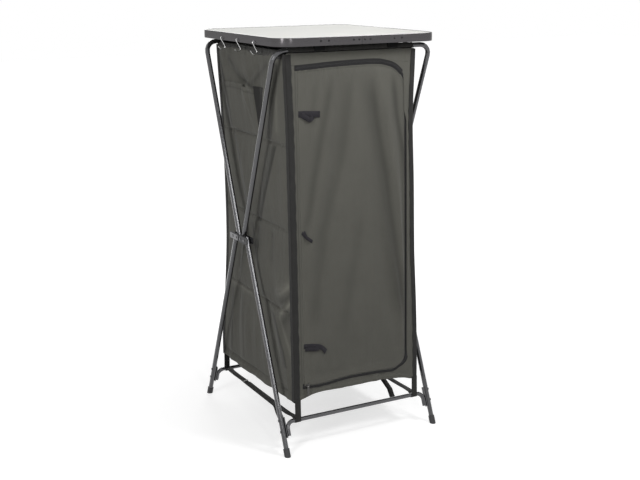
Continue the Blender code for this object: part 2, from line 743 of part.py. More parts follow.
def make_seat(face, side):
    """A block under the board that seats over and outside the cross tube and its fabric sleeve."""
    sign, edge = FACE_SIGN[face], SIDE_SIGN[side]
    seat_radius = SLEEVE_RADIUS + SEAT_CLEARANCE
    outer_y = CROSS_TUBE_Y + seat_radius + SEAT_WALL
    inner_y = CROSS_TUBE_Y - SEAT_INNER_REACH
    x_low, x_high = edge * SEAT_X - SEAT_WIDTH / 2, edge * SEAT_X + SEAT_WIDTH / 2
    y_low, y_high = sorted((sign * outer_y, sign * inner_y))
    seat = block(f"seat_{face}_{side}", (x_low, y_low, CROSS_TUBE_Z - SEAT_DROP),
                 (x_high, y_high, BOARD_BOTTOM - PIVOT_CLEARANCE), BLACK_PLASTIC)
    bevel(seat, SEAT_EDGE, 1)
    room = seat_radius
    groove = rod(f"{seat.name}_groove", (x_low - room, sign * CROSS_TUBE_Y, CROSS_TUBE_Z),
                 (x_high + room, sign * CROSS_TUBE_Y, CROSS_TUBE_Z), seat_radius, None, CUTTERS, 20)
    boolean(seat, as_cutter(groove))
    y_low, y_high = sorted((sign * CROSS_TUBE_Y, sign * (inner_y - room)))
    way = block(f"{seat.name}_way", (x_low - room, y_low, CROSS_TUBE_Z - 2 * room),
                (x_high + room, y_high, CROSS_TUBE_Z + seat_radius), None, CUTTERS)
    return smooth(boolean(seat, as_cutter(way)))


def corner_x(side, face, z):
    """Where a corner of the fabric body stands at height z, on a smooth curve through the table's points."""
    offsets = CORNER_OFFSETS[(side, face)]
    down = min(max((WALL_TOP - z) / (WALL_TOP - SIDE_HEM), 0.0), 1.0)
    index = next(i for i in range(len(offsets) - 1) if down <= CORNER_SHARES[i + 1])
    share = (down - CORNER_SHARES[index]) / (CORNER_SHARES[index + 1] - CORNER_SHARES[index])
    before, after = offsets[max(index - 1, 0)], offsets[min(index + 2, len(offsets) - 1)]
    start, end = offsets[index], offsets[index + 1]
    pull_start, pull_end = (end - before) / 2, (after - start) / 2
    cubic = 2 * start - 2 * end + pull_start + pull_end
    square = -3 * start + 3 * end - 2 * pull_start - pull_end
    offset = start + share * (pull_start + share * (square + share * cubic))
    return SIDE_SIGN[side] * (BODY_WIDTH / 2 + offset)


def face_y(face, z):
    """Distance of the front or back wall's outer surface from the middle plane."""
    share = (WALL_TOP - z) / (WALL_TOP - SIDE_HEM)
    return FACE_SIGN[face] * (FRONT_TOP_Y + (FRONT_HEM_Y - FRONT_TOP_Y) * share)


def ease(share):
    share = min(max(share, 0.0), 1.0)
    return share * share * (3 - 2 * share)


def bump(distance, spread):
    return math.exp(-(distance / spread) ** 2)


def lean(x, z):
    """The door and its zip lean a little to the right towards the floor."""
    return x + DOOR_LEAN * (ZIP_TOP - z) / (ZIP_TOP - ZIP_BOTTOM)


def door_fold(x, z):
    """How far the door's cloth stands out of the front surface: one long ridge and the valleys beside it."""
    share = (ZIP_TOP - z) / (ZIP_TOP - ZIP_BOTTOM)
    left, right = lean(DOOR_LEFT, z), lean(DOOR_RIGHT - ZIP_HALF_WIDTH, z)
    inside = ease((x - left) / FOLD_MARGIN) * ease((right - x) / (FOLD_MARGIN * 0.6))
    inside *= ease((z - ZIP_BOTTOM - ZIP_HALF_WIDTH) / FOLD_MARGIN)
    inside *= ease((ZIP_TOP - ZIP_HALF_WIDTH - z) / FOLD_MARGIN)
    ridge = RIDGE_TOP_X + (RIDGE_BOTTOM_X - RIDGE_TOP_X) * share
    height = RIDGE_HEIGHT * bump(x - ridge, RIDGE_SPREAD)
    height -= VALLEY_DEPTH * bump(x - ridge + VALLEY_SHIFT, VALLEY_SPREAD)
    height += SWELL_HEIGHT * bump(x - ridge + SWELL_SHIFT + SWELL_DRIFT * share, SWELL_SPREAD)
    height += EDGE_SWELL_HEIGHT * bump(x - left - EDGE_SWELL_SHIFT, EDGE_SWELL_SPREAD)
    return height * inside


def front_surface(x, z):
    return face_y("front", z) - door_fold(x, z)


def hem_height(x):
    share = min(abs(x) / (BODY_WIDTH / 2), 1.0)
    return FRONT_HEM_CORNER + FRONT_HEM_ARCH * (1 - share ** 6)


def wall_height(v):
    """The height of a wall's row, with rows at every shelf."""
    return WALL_HEIGHTS[round(v * (len(WALL_HEIGHTS) - 1))]


def side_surface(side, y, z):
    """Outer surface of a side wall: drawn in at each shelf, fuller between, with soft upright folds."""
    reach = abs(face_y("front", z))
    share = (y + reach) / (2 * reach)
    base = corner_x(side, "front", z) * (1 - share) + corner_x(side, "back", z) * share
    level = (z - FLOOR_HEIGHT) / SHELF_PITCH
    full = math.sin(math.pi * (level - math.floor(level))) ** 2
    flat = (BINDING_SIDE + BINDING_MARGIN) / (2 * reach)
    across = ease((share - flat) / 0.12) * ease((1 - share - flat) / 0.12)
    folds = 0.5 + 0.5 * math.cos(math.tau * (3.5 * share + 0.25 * math.floor(level)))
    fullness = SIDE_BILLOW * math.sin(math.pi * share) + SIDE_FOLD * folds
    return base + SIDE_SIGN[side] * across * full * fullness


def make_side_wall(side):
    def place(u, v):
        z = wall_height(v)
        room = abs(face_y("front", z)) - CLOTH - GAP
        flat = BINDING_SIDE + BINDING_MARGIN
        column = round(u * WALL_COLUMNS)
        y = -room + flat + 2 * (room - flat) * (column - 1) / (WALL_COLUMNS - 2)
        y = -room if column == 0 else room if column == WALL_COLUMNS else y
        return side_surface(side, y, z), y, z
    offset = -1.0 if side == "right" else 1.0
    return sheet(f"{side}_wall", WALL_COLUMNS, len(WALL_HEIGHTS) - 1, place, CLOTH, OLIVE, offset)


def make_back_wall():
    def place(u, v):
        z = wall_height(v)
        left, right = corner_x("left", "back", z), corner_x("right", "back", z)
        x = left + (right - left) * u
        level = (z - FLOOR_HEIGHT) / SHELF_PITCH
        full = math.sin(math.pi * (level - math.floor(level))) ** 2 * math.sin(math.pi * u) ** 2
        return x, face_y("back", z) + BACK_BILLOW * full, z
    return sheet("back_wall", 6, len(WALL_HEIGHTS) - 1, place, CLOTH, OLIVE, 1.0)


def front_cloth(name, outlines, mat):
    """Flat cloth in the front plane between closed outlines whose points are (x, z)."""
    curve = poly_curve(name, [(x, z, 0.0) for x, z in outlines[0]], cyclic=True, flat=True)
    curve.fill_mode = "FRONT"
    for outline in outlines[1:]:
        spline = curve.splines.new("POLY")
        spline.points.add(len(outline) - 1)
        spline.use_cyclic_u = True
        for spot, (x, z) in zip(spline.points, outline):
            spot.co = (x, z, 0.0, 1.0)
    mesh = curve_mesh(curve, name)
    for vertex in mesh.vertices:
        x, z = vertex.co.x, vertex.co.y
        vertex.co = Vector((x, face_y("front", z), z))
    if mesh.polygons[0].normal.y > 0:
        mesh.flip_normals()
    return smooth(solidify(add_object(name, mesh, mat), CLOTH), 60)


def door_corners(grow):
    """The right side of an outline round the door from bottom to top, grown by a distance."""
    right, top, bottom = DOOR_RIGHT + grow, ZIP_TOP + grow, ZIP_BOTTOM - grow
    points = []
    for radius, centre_z, start in ((ZIP_BOTTOM_RADIUS + grow, bottom + ZIP_BOTTOM_RADIUS + grow, -90),
                                    (ZIP_TOP_RADIUS + grow, top - ZIP_TOP_RADIUS - grow, 0)):
        for step in range(CORNER_STEPS + 1):
            angle = math.radians(start + 90 * step / CORNER_STEPS)
            z = centre_z + radius * math.sin(angle)
            points.append((lean(right - radius + radius * math.cos(angle), z), z))
    return points


def door_outline(grow, left):
    """A closed outline round the door, with its upright edge at the left."""
    side = door_corners(grow)
    return [(lean(left, side[0][1]), side[0][1]), *side, (lean(left, side[-1][1]), side[-1][1])]


def make_surround():
    """The front wall's cloth round the door opening."""
    heights = [FRONT_HEM_CORNER, *(z for z in WALL_HEIGHTS if z > FRONT_HEM_CORNER)]
    left = [(corner_x("left", "front", z), z) for z in heights]
    right = [(corner_x("right", "front", z), z) for z in heights]
    span = right[0][0] - left[0][0]
    hem = [left[0][0] + span * step / 8 for step in range(1, 8)]
    outer = [*left, *reversed(right), *[(x, hem_height(x)) for x in reversed(hem)]]
    inner = door_outline(ZIP_HALF_WIDTH + GAP, DOOR_LEFT - DOOR_HINGE_CLEARANCE)
    return front_cloth("front_surround", [outer, inner], OLIVE)


def make_zip():
    """The zip's tapes and teeth as one band along the door's edge, round two corners."""
    outer = door_outline(ZIP_HALF_WIDTH, DOOR_LEFT)
    inner = door_outline(-ZIP_HALF_WIDTH, DOOR_LEFT)
    return front_cloth("zip", [[*outer, *reversed(inner)]], BLACK_TAPE)


def make_door():
    """The door's cloth, with its long fold, inside the zip."""
    grow = -ZIP_HALF_WIDTH - DOOR_GAP
    right, top, bottom = DOOR_RIGHT + grow, ZIP_TOP + grow, ZIP_BOTTOM - grow
    upper, lower = ZIP_TOP_RADIUS + grow, ZIP_BOTTOM_RADIUS + grow

    def place(u, v):
        spread = 0.6 * (0.5 - 0.5 * math.cos(math.pi * v)) + 0.4 * v
        z = bottom + (top - bottom) * spread
        cut = 0.0
        if z > top - upper:
            cut = upper - math.sqrt(max(upper ** 2 - (z - top + upper) ** 2, 0.0))
        elif z < bottom + lower:
            cut = lower - math.sqrt(max(lower ** 2 - (bottom + lower - z) ** 2, 0.0))
        x = lean(DOOR_LEFT + (right - cut - DOOR_LEFT) * u, z)
        return x, front_surface(x, z), z
    return sheet("door", 22, 18, place, CLOTH, OLIVE)


def make_binding(side, face):
    """A folded tape over one upright corner of the body."""
    edge, sign = SIDE_SIGN[side], FACE_SIGN[face]

    def place(u, v):
        z = wall_height(v)
        x = corner_x(side, face, z) + edge * GAP
        y = face_y(face, z) + sign * GAP
        if u > 0.75:
            return x - edge * (BINDING_FRONT + GAP), y, z
        if u > 0.25:
            return x, y, z
        y -= sign * (BINDING_SIDE + GAP)
        return side_surface(side, y, z) + edge * GAP, y, z
    rows = len(WALL_HEIGHTS) - 1
    return sheet(f"binding_{face}_{side}", 2, rows, place, BINDING_THICKNESS, BLACK_TAPE, edge * sign)


def shelf_span(side, height):
    """The nearest that a side wall comes to the middle over a shelf's thickness."""
    levels = (height - SHELF_THICKNESS, height + SHELF_THICKNESS)
    reach = min(abs(corner_x(side, face, z)) for face in FACE_SIGN for z in levels)
    return SIDE_SIGN[side] * (reach - CLOTH - SHELF_CLEARANCE)


def make_shelf(index):
    """A fabric sleeve across the body, open at the front, with a stiff board in it."""
    height = FLOOR_HEIGHT + index * SHELF_PITCH
    left, right = shelf_span("left", height), shelf_span("right", height)
    depth = FRONT_TOP_Y - CLOTH - VALLEY_DEPTH - SHELF_CLEARANCE
    low, high = height - SHELF_THICKNESS / 2, height + SHELF_THICKNESS / 2
    name = "floor" if index == 0 else f"shelf_{index}"
    cover = block(f"{name}_cover", (left, -depth, low), (right, depth, high), OLIVE)
    bevel(cover, SHELF_EDGE, 1)
    side, wall = SHELF_COVER * 2, SHELF_COVER
    pocket = block(f"{name}_pocket", (left + side, -depth - CUT_ROOM, low + wall),
                   (right - side, depth - side, high - wall), None, CUTTERS)
    boolean(cover, as_cutter(pocket))
    board = block(f"{name}_board", (left + side + GAP, -depth + side, low + wall + GAP),
                  (right - side - GAP, depth - side - GAP, high - wall - GAP), BOARD)
    return [cover, bevel(board, SHELF_BOARD_EDGE, 1)]


def make_roof():
    """The cloth that closes the body at the top, sagging a little in the middle."""
    z = WALL_TOP - ROOF_DROP
    left, right = shelf_span("left", z), shelf_span("right", z)
    reach = FRONT_TOP_Y - CLOTH - SHELF_CLEARANCE

    def place(u, v):
        sag = ROOF_SAG * math.sin(math.pi * u) * math.sin(math.pi * v)
        return left + (right - left) * u, -reach + 2 * reach * v, z - sag
    return sheet("roof_panel", 4, 4, place, CLOTH, OLIVE)


def make_band(face):
    """A sleeve round the cross tube with a skirt that hangs over the wall's top edge."""
    sign = FACE_SIGN[face]
    radius = SLEEVE_RADIUS - BAND_THICKNESS / 2
    outside = GAP + BINDING_THICKNESS + GAP + BAND_THICKNESS / 2
    path = [(sign * (abs(face_y(face, BAND_BOTTOM)) + outside), BAND_BOTTOM)]
    path.append((sign * (FRONT_TOP_Y + outside), WALL_TOP + WALL_CLEARANCE + BAND_THICKNESS))
    turns = 13
    for step in range(turns + 1):
        angle = math.radians(SLEEVE_START + (SLEEVE_END - SLEEVE_START) * step / turns)
        y = CROSS_TUBE_Y + radius * math.cos(angle)
        path.append((sign * y, CROSS_TUBE_Z + radius * math.sin(angle)))
    centre = BAND_FRONT_SHIFT if face == "front" else 0.0
    return ribbon(f"top_band_{face}", path, centre, 2 * BAND_HALF_LENGTH, BAND_THICKNESS, OLIVE)


def make_strap(face, side):
    """Webbing from the hem's corner, round the bottom rail and along the side to its fastening."""
    sign = FACE_SIGN[face]
    x = STRAP_LEFT_X if side == "left" else STRAP_RIGHT_X
    rail_y = leg_y(RAIL_HEIGHT)
    radius = RAIL_RADIUS + SLEEVE_CLEARANCE + STRAP_THICKNESS / 2
    outside = GAP + BINDING_THICKNESS + GAP + STRAP_THICKNESS / 2
    path = [(sign * (abs(face_y(face, z)) + outside), z) for z in (STRAP_TOP, SIDE_HEM - STRAP_BELOW_HEM)]
    for step in range(8):
        angle = math.radians(30 - 230 * step / 7)
        path.append((sign * (rail_y + radius * math.cos(angle)), RAIL_HEIGHT + radius * math.sin(angle)))
    level = STRAP_RUN_HEIGHT
    path.append((sign * (rail_y - STRAP_LEAD), level))
    if face == "front":
        path.append((STRAP_FRONT_REACH, level))
    else:
        under = level - STRAP_THICKNESS - GAP
        path.append((STRAP_FRONT_REACH + STRAP_OVERLAP, level))
        path += [(STRAP_FRONT_REACH + STRAP_STEP, under), *STRAP_TAILS[side]]
    return ribbon(f"strap_{face}_{side}", path, x, STRAP_WIDTH, STRAP_THICKNESS, BLACK_TAPE)


def make_tie(name, height, length, sag):
    """Webbing sewn beside the hinge edge, hanging in a soft curve over the door."""
    start = lean(DOOR_LEFT, height) + TIE_START

    def place(u, v):
        x = start + length * math.sin(math.pi / 2 * u)
        z = height - sag * u ** 2 + (v - 0.5) * TIE_WIDTH
        lift = GAP + TIE_LIFT * ease(u * 1.4) * math.sin(math.pi * (0.15 + 0.75 * u))
        return x, front_surface(x, z) - lift, z
    return sheet(name, 8, 2, place, STRAP_THICKNESS, BLACK_TAPE, 1.0)


def make_slider():
    """The zip's slider, standing on the lower run."""
    face = front_surface(SLIDER_X, ZIP_BOTTOM) - GAP
    width, depth, height = SLIDER_SIZE
    slider = block("zip_slider", (SLIDER_X - width / 2, face - depth, ZIP_BOTTOM - height / 2),
                   (SLIDER_X + width / 2, face, ZIP_BOTTOM + height / 2), SLIDER_METAL)
    return bevel(slider, SLIDER_EDGE, 2)


def pull_axis():
    face = front_surface(SLIDER_X, ZIP_BOTTOM) - GAP
    return Vector((SLIDER_X, face - SLIDER_SIZE[1] - PULL_EYE_RADIUS - GAP, ZIP_BOTTOM - PULL_EYE_DROP))


def make_pull():
    """A flat tab that hangs from a round eye in front of the slider."""
    axis = pull_axis()
    half = PULL_WIDTH / 2
    tab = block("zip_pull", (axis.x - half, axis.y - PULL_THICKNESS / 2, axis.z - PULL_LENGTH),
                (axis.x + half, axis.y + PULL_THICKNESS / 2, axis.z), SLIDER_METAL)
    bevel(tab, PULL_EDGE, 2)
    reach = Vector((half - PULL_EYE_INSET, 0, 0))
    eye = rod("zip_pull_eye", axis - reach, axis + reach, PULL_EYE_RADIUS, None, CUTTERS, 12)
    return boolean(tab, as_cutter(eye), "UNION")


def make_pocket():
    """An open-topped pocket sewn on the left wall, fullest at its mouth."""
    def place(u, v):
        y = POCKET_FRONT_Y + (POCKET_BACK_Y - POCKET_FRONT_Y) * u
        z = POCKET_BOTTOM + (POCKET_TOP - POCKET_BOTTOM) * v
        bulge = POCKET_BULGE * math.sin(math.pi * u) ** 0.8 * ease(v * 1.15)
        dip = POCKET_DIP * math.sin(math.pi * u) * v ** 3
        return side_surface("left", y, z) - POCKET_CLEARANCE - bulge, y, z - dip
    return sheet("side_pocket", 10, 6, place, CLOTH, OLIVE, -1.0)


def hook_y(index):
    return HOOK_CENTRE_Y + HOOK_SPACING * (1 - index)


def make_hook(index):
    """A bent wire hook that hangs from a hole in the rim, its inner end turned up."""
    wall_gap = RIM_WALL / 2 + HOOK_WIRE_RADIUS + HOOK_HOLE_PLAY
    under_rim = -(HOOK_HOLE_Z - RIM_BOTTOM) - HOOK_BELOW_RIM
    bowl_z = -HOOK_LENGTH + HOOK_BOWL_RADIUS
    spine = [(HOOK_END, HOOK_END), (HOOK_END, 0.0), (-wall_gap, 0.0), (-wall_gap, under_rim)]
    shank = [Vector((x, 0, z)) for x, z in spine]
    bowl_x = -wall_gap + HOOK_BOWL_SHIFT
    bowl = []
    for step in range(11):
        angle = math.radians(35 - 225 * step / 10)
        reach_x, reach_z = HOOK_BOWL_RADIUS * math.cos(angle), HOOK_BOWL_RADIUS * math.sin(angle)
        bowl.append(Vector((bowl_x + reach_x, 0, bowl_z + reach_z)))
    bent = rounded_path(shank + bowl[:1], HOOK_BEND_RADIUS, 2)
    spin = Matrix.Rotation(math.radians(HOOK_TURNS[index]), 3, "Z")
    shaft = Vector((-wall_gap, 0, 0))
    turned = []
    for point in bent + bowl[1:]:
        below = point.z < under_rim + GAP
        turned.append(shaft + spin @ (point - shaft) if below else point)
    origin = (-TOP_WIDTH / 2 + RIM_WALL / 2, hook_y(index), HOOK_HOLE_Z)
    return wire(f"hook_{index + 1}", turned, HOOK_WIRE_RADIUS, HOOK_STEEL, origin)


def build():
    upper = {face: [make_upper_frame(face), make_band(face)] for face in FACE_SIGN}
    lower = {}
    for face in FACE_SIGN:
        pieces = [make_rail(face)]
        for side in SIDE_SIGN:
            pieces += [make_leg(face, side), make_foot_cap(face, side), make_strap(face, side)]
        lower[face] = pieces
    for side in SIDE_SIGN:
        make_hub(side)
        make_side_wall(side)
        for face in FACE_SIGN:
            make_binding(side, face)
    make_back_wall()
    make_roof()
    for index in range(SHELF_COUNT):
        make_shelf(index)
    make_pocket()
    make_surround()
    make_zip()
    door = make_door()
    places = zip(("tie_upper", "tie_middle", "tie_lower"), TIE_SHARES, TIE_LENGTHS, TIE_SAGS)
    ties = [make_tie(name, ZIP_TOP - share * (ZIP_TOP - ZIP_BOTTOM), length, sag)
            for name, share, length, sag in places]
    slider, pull = make_slider(), make_pull()
    top = [make_board(), make_rim()]
    top += [make_seat(face, side) for face in FACE_SIGN for side in SIDE_SIGN]
    hooks = [make_hook(index) for index in range(len(HOOK_TURNS))]
    for face, sign in FACE_SIGN.items():
        pivot(f"upper_{face}_pivot", (0, sign * UPPER_PIVOT_Y, HUB_HEIGHT), upper[face])
        pivot(f"lower_{face}_pivot", (0, sign * LOWER_PIVOT_Y, HUB_HEIGHT), lower[face])
    middle = (ZIP_TOP + ZIP_BOTTOM) / 2
    pivot("door_hinge", (lean(DOOR_LEFT, middle), face_y("front", middle), middle), [door, *ties])
    slide = pivot("zip_slide", (SLIDER_X, front_surface(SLIDER_X, ZIP_BOTTOM), ZIP_BOTTOM), [slider])
    tab = pivot("zip_pull_pivot", pull_axis(), [pull])
    tab.parent = slide
    tab.matrix_parent_inverse = slide.matrix_world.inverted()
    lift = pivot("table_top_lift", (0, 0, RIM_BOTTOM), top)
    for hook in hooks:
        hook.parent = lift
        hook.matrix_parent_inverse = lift.matrix_world.inverted()


build()
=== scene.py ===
import math

import bmesh
import bpy
import numpy as np
from mathutils import Matrix, Vector

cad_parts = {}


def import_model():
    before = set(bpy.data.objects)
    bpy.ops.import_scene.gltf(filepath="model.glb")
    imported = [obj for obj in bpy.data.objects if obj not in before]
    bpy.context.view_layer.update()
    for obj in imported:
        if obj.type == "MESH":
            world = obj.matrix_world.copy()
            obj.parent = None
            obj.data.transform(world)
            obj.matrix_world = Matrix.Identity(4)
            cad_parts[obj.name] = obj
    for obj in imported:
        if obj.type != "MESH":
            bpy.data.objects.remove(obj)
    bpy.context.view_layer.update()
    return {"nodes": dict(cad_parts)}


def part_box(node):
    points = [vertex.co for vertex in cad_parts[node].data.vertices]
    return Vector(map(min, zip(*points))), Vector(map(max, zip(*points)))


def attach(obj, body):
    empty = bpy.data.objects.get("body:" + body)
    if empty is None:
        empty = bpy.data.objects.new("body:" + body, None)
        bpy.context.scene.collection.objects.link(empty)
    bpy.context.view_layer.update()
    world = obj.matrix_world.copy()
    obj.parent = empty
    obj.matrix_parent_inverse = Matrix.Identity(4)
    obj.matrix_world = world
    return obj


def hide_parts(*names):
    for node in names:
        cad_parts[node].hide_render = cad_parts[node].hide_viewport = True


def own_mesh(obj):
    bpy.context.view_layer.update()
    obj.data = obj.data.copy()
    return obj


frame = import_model()

# Sizes of the model, in metres
TOP_WIDTH, TOP_DEPTH, HEIGHT, RIM_HEIGHT = 0.560, 0.600, 1.300, 0.025
RIM_WALL, RIM_LIP, CORNER_RADIUS = 0.0015, 0.005, 0.060
TUBE_RADIUS, CROSS_TUBE_Y, CROSS_TUBE_Z = 0.008, 0.255, 1.262
HUB_HEIGHT, LOWER_PIVOT_Y, FOOT_Y = 0.646, 0.0405, 0.312
RAIL_RADIUS, RAIL_HEIGHT = 0.007, 0.098
RAIL_Y = FOOT_Y + (LOWER_PIVOT_Y - FOOT_Y) * RAIL_HEIGHT / HUB_HEIGHT
BODY_WIDTH, WALL_TOP, SIDE_HEM, CLOTH_HEM = 0.450, 1.2505, 0.150, 0.158
WALL_INSET, CLOTH, THIN_CLOTH = 0.0018, 0.0009, 0.0008
FRONT_TOP_Y, FRONT_HEM_Y = 0.2655, 0.2740
FACE_SLOPE = (FRONT_HEM_Y - FRONT_TOP_Y) / (WALL_TOP - SIDE_HEM)
FRONT_HEM = (
    (-0.24, 0.158), (-0.218, 0.16), (-0.205, 0.164), (-0.185, 0.1705), (-0.164, 0.176), (-0.124, 0.1795),
    (-0.066, 0.177), (0.008, 0.177), (0.09, 0.177), (0.13, 0.174), (0.161, 0.171), (0.184, 0.167), (0.205, 0.16),
    (0.24, 0.158),
)
BINDING_FRONT, BINDING_SIDE = {"left": 0.0175, "right": 0.0150}, 0.0165
BINDING_GAP, BINDING_THICKNESS, BINDING_BEND = 0.0007, 0.0013, 0.0026
DOOR_LEFT, DOOR_RIGHT, DOOR_LEAN = -0.2055, 0.179, 0.011
ZIP_TOP, ZIP_BOTTOM, ZIP_HALF = 1.215, 0.2105, 0.0062
ZIP_TOP_RADIUS, ZIP_BOTTOM_RADIUS = 0.074, 0.046
SHELVES = (0.184, 0.447675, 0.711350, 0.975025)
POCKET_LOW, POCKET_HIGH, POCKET_FRONT, POCKET_BACK = 0.981, 1.1345, -0.058, 0.188
# The body's corners: heights as shares of the wall from its top, and how far out the cloth lies at each
CORNER_SHARES = (0.0, 0.19, 0.38, 0.59, 0.755, 0.91, 1.0)
CORNER_OFFSETS = {
    ("left", "front"): (0.018, 0.011, 0.008, 0.0055, 0.0045, 0.003, 0.0035),
    ("right", "front"): (-0.013, -0.02, -0.0135, -0.0085, 0.0005, 0.0055, 0.006),
    ("left", "back"): (0.006, -0.0045, -0.013, -0.015, -0.0065, 0.007, 0.008),
    ("right", "back"): (0.006, -0.0025, -0.008, -0.007, 0.002, 0.0105, 0.009),
}
SIDE = {"left": -1, "right": 1}
FACE = {"front": -1, "back": 1}
FORWARD, UP = (0.0, -1.0, 0.0), (0.0, 0.0, 1.0)
NOISE_LOW, NOISE_HIGH = 0.3, 0.7


class Tree:
    """The nodes of a material or world, made by short calls."""

    def __init__(self, owner, shader="Principled BSDF"):
        owner.use_nodes = True
        self.owner, self.nodes, self.links = owner, owner.node_tree.nodes, owner.node_tree.links
        self.shader = self.nodes[shader]

    def put(self, target, value):
        if hasattr(value, "is_output"):
            self.links.new(value, target)
        else:
            target.default_value = value

    def node(self, kind, inputs=None, **settings):
        """A new node, with its inputs linked or set."""
        made = self.nodes.new(kind)
        for name, value in settings.items():
            setattr(made, name, value)
        for socket, value in (inputs or {}).items():
            self.put(made.inputs[socket], value)
        return made

    def math(self, operation, a, b=0.0):
        return self.node("ShaderNodeMath", {0: a, 1: b}, operation=operation).outputs[0]

    def sine(self, value, pitch):
        return self.math("SINE", self.math("MULTIPLY", value, math.pi / pitch))

    def coords(self, kind="Object"):
        return self.node("ShaderNodeTexCoord").outputs[kind]

    def split(self, vector):
        return self.node("ShaderNodeSeparateXYZ", {0: vector}).outputs

    def stretch(self, vector, scale):
        return self.node("ShaderNodeMapping", {"Vector": vector, "Scale": scale}).outputs[0]

    def noise(self, vector, scale, detail=3.0, roughness=0.55):
        inputs = {"Vector": vector, "Scale": scale, "Detail": detail, "Roughness": roughness}
        return self.node("ShaderNodeTexNoise", inputs).outputs["Fac"]

    def span(self, value, low, high, to_low=0.0, to_high=1.0):
        inputs = {"Value": value, "From Min": low, "From Max": high, "To Min": to_low, "To Max": to_high}
        return self.node("ShaderNodeMapRange", inputs).outputs[0]

    def patches(self, value, to_low=0.0, to_high=1.0):
        """Noise spread over its usual range."""
        return self.span(value, NOISE_LOW, NOISE_HIGH, to_low, to_high)

    def mix(self, share, first, second):
        first, second = (value if hasattr(value, "is_output") else (*value, 1.0) for value in (first, second))
        inputs = {"Factor": share, "A": first, "B": second}
        return self.node("ShaderNodeMix", inputs, data_type="RGBA").outputs["Result"]

    def bump(self, height, distance, strength, normal=None):
        inputs = {"Height": height, "Distance": distance, "Strength": strength}
        if normal is not None:
            inputs["Normal"] = normal
        return self.node("ShaderNodeBump", inputs).outputs["Normal"]

    def finish(self, color, roughness, normal, metallic=0.0, sheen=0.0, specular=0.5, coat=0.0, edge=1.0):
        inputs = {"Base Color": color, "Roughness": roughness, "Metallic": metallic, "Sheen Weight": sheen,
                  "Sheen Roughness": 0.5, "Specular IOR Level": specular, "Specular Tint": (edge, edge, edge, 1.0),
                  "Coat Weight": coat, "Coat Roughness": 0.2, "Normal": normal}
        for name, value in inputs.items():
            self.put(self.shader.inputs[name], value)
        return self.owner


def material(name):
    return Tree(bpy.data.materials.new(name))


def tint(color, factor):
    """The colour made lighter or darker."""
    return tuple(min(c * factor, 1.0) for c in color)


def plain_weave(tree, pitch):
    """Height of a plain weave and which thread is on top, from UV in metres."""
    across = tree.split(tree.coords("UV"))
    sines = [tree.sine(across[i], pitch) for i in (0, 1)]
    over = tree.math("GREATER_THAN", tree.math("MULTIPLY", *sines), 0.0)
    lifts = [tree.math("ABSOLUTE", sine) for sine in sines]
    first = tree.math("MULTIPLY", lifts[0], over)
    second = tree.math("MULTIPLY", lifts[1], tree.math("SUBTRACT", 1.0, over))
    return tree.math("ADD", first, second), over


def woven(name, color, pitch, roughness=0.84, sheen=0.08):
    """Plain-woven polyester with uneven threads and soft, slightly faded patches.

    The attribute "fold" is painted shade that darkens the cloth in its deep folds and, where it's below zero, painted
    highlight that lightens its creases where light falls.
    """
    tree = material(name)
    height, over = plain_weave(tree, pitch)
    place = tree.coords()
    threads = tree.noise(tree.stretch(place, (900, 900, 60)), 1.0, 2.0)
    patches = tree.noise(place, 7.0, 4.0)
    shade = tree.mix(tree.patches(patches), tint(color, 0.9), tint(color, 1.1))
    shade = tree.mix(tree.patches(threads, 0.0, 0.35), shade, tint(color, 0.72))
    shade = tree.mix(tree.math("MULTIPLY", over, 0.18), shade, tint(color, 1.25))
    # Painted shade: darker where the weave sinks between its threads
    shade = tree.mix(tree.span(height, 0.0, 0.45, 0.35, 0.0), shade, tint(color, 0.4))
    # Painted shade in folds from the attribute "fold", and painted highlight where it is below zero
    painted_shading = tree.node("ShaderNodeAttribute", attribute_name="fold").outputs["Fac"]
    shade = tree.mix(painted_shading, shade, tint(color, 0.30))
    shade = tree.mix(tree.span(painted_shading, -1.0, 0.0, 1.0, 0.0), shade, tint(color, 1.9))
    fine = tree.bump(height, pitch * 0.35, 0.5)
    slub = tree.bump(tree.noise(place, 160.0), 0.0006, 0.35, fine)
    rough = tree.patches(patches, roughness - 0.04, roughness + 0.05)
    return tree.finish(shade, rough, slub, sheen=sheen, specular=0.25)


def ribbed(name, color, pitch):
    """Narrow webbing: ribs across its length (UV's v), with a finer twill between them."""
    tree = material(name)
    u, v, _ = tree.split(tree.coords("UV"))
    rib = tree.math("ABSOLUTE", tree.sine(v, pitch))
    yarn = tree.math("ABSOLUTE", tree.sine(tree.math("ADD", u, v), pitch * 0.6))
    height = tree.math("ADD", rib, tree.math("MULTIPLY", yarn, 0.35))
    patches = tree.noise(tree.coords(), 25.0, 4.0)
    shade = tree.mix(tree.patches(patches), tint(color, 0.86), tint(color, 1.18))
    # Painted shade: darker in the grooves between the ribs
    shade = tree.mix(tree.span(rib, 0.0, 0.5, 0.45, 0.0), shade, tint(color, 0.45))
    return tree.finish(shade, 0.8, tree.bump(height, pitch * 0.3, 0.6), sheen=0.1, specular=0.25)


def painted(name, color, roughness, metallic=0.0, coat=0.0, specular=0.5):
    """Paint or anodising with a faint orange-peel and uneven gloss."""
    tree = material(name)
    place = tree.coords()
    fine, broad = tree.noise(place, 420.0, 2.0), tree.noise(place, 14.0, 4.0)
    shade = tree.mix(tree.patches(broad), tint(color, 0.93), tint(color, 1.07))
    rough = tree.patches(broad, roughness * 0.88, roughness * 1.12)
    return tree.finish(shade, rough, tree.bump(fine, 0.00025, 0.25), metallic, coat=coat, specular=specular)


def brushed(name, color, roughness, metallic, direction, edge=1.0):
    """Metal with fine lines drawn out along one direction."""
    tree = material(name)
    place = tree.stretch(tree.coords(), direction)
    lines, broad = tree.noise(place, 1.0, 4.0, 0.7), tree.noise(tree.coords(), 9.0)
    shade = tree.mix(tree.span(lines, 0.25, 0.75), tint(color, 0.86), tint(color, 1.12))
    rough = tree.span(tree.math("ADD", lines, broad), 0.7, 1.3, roughness * 0.8, roughness * 1.2)
    return tree.finish(shade, rough, tree.bump(lines, 0.0002, 0.15), metallic, edge=edge)


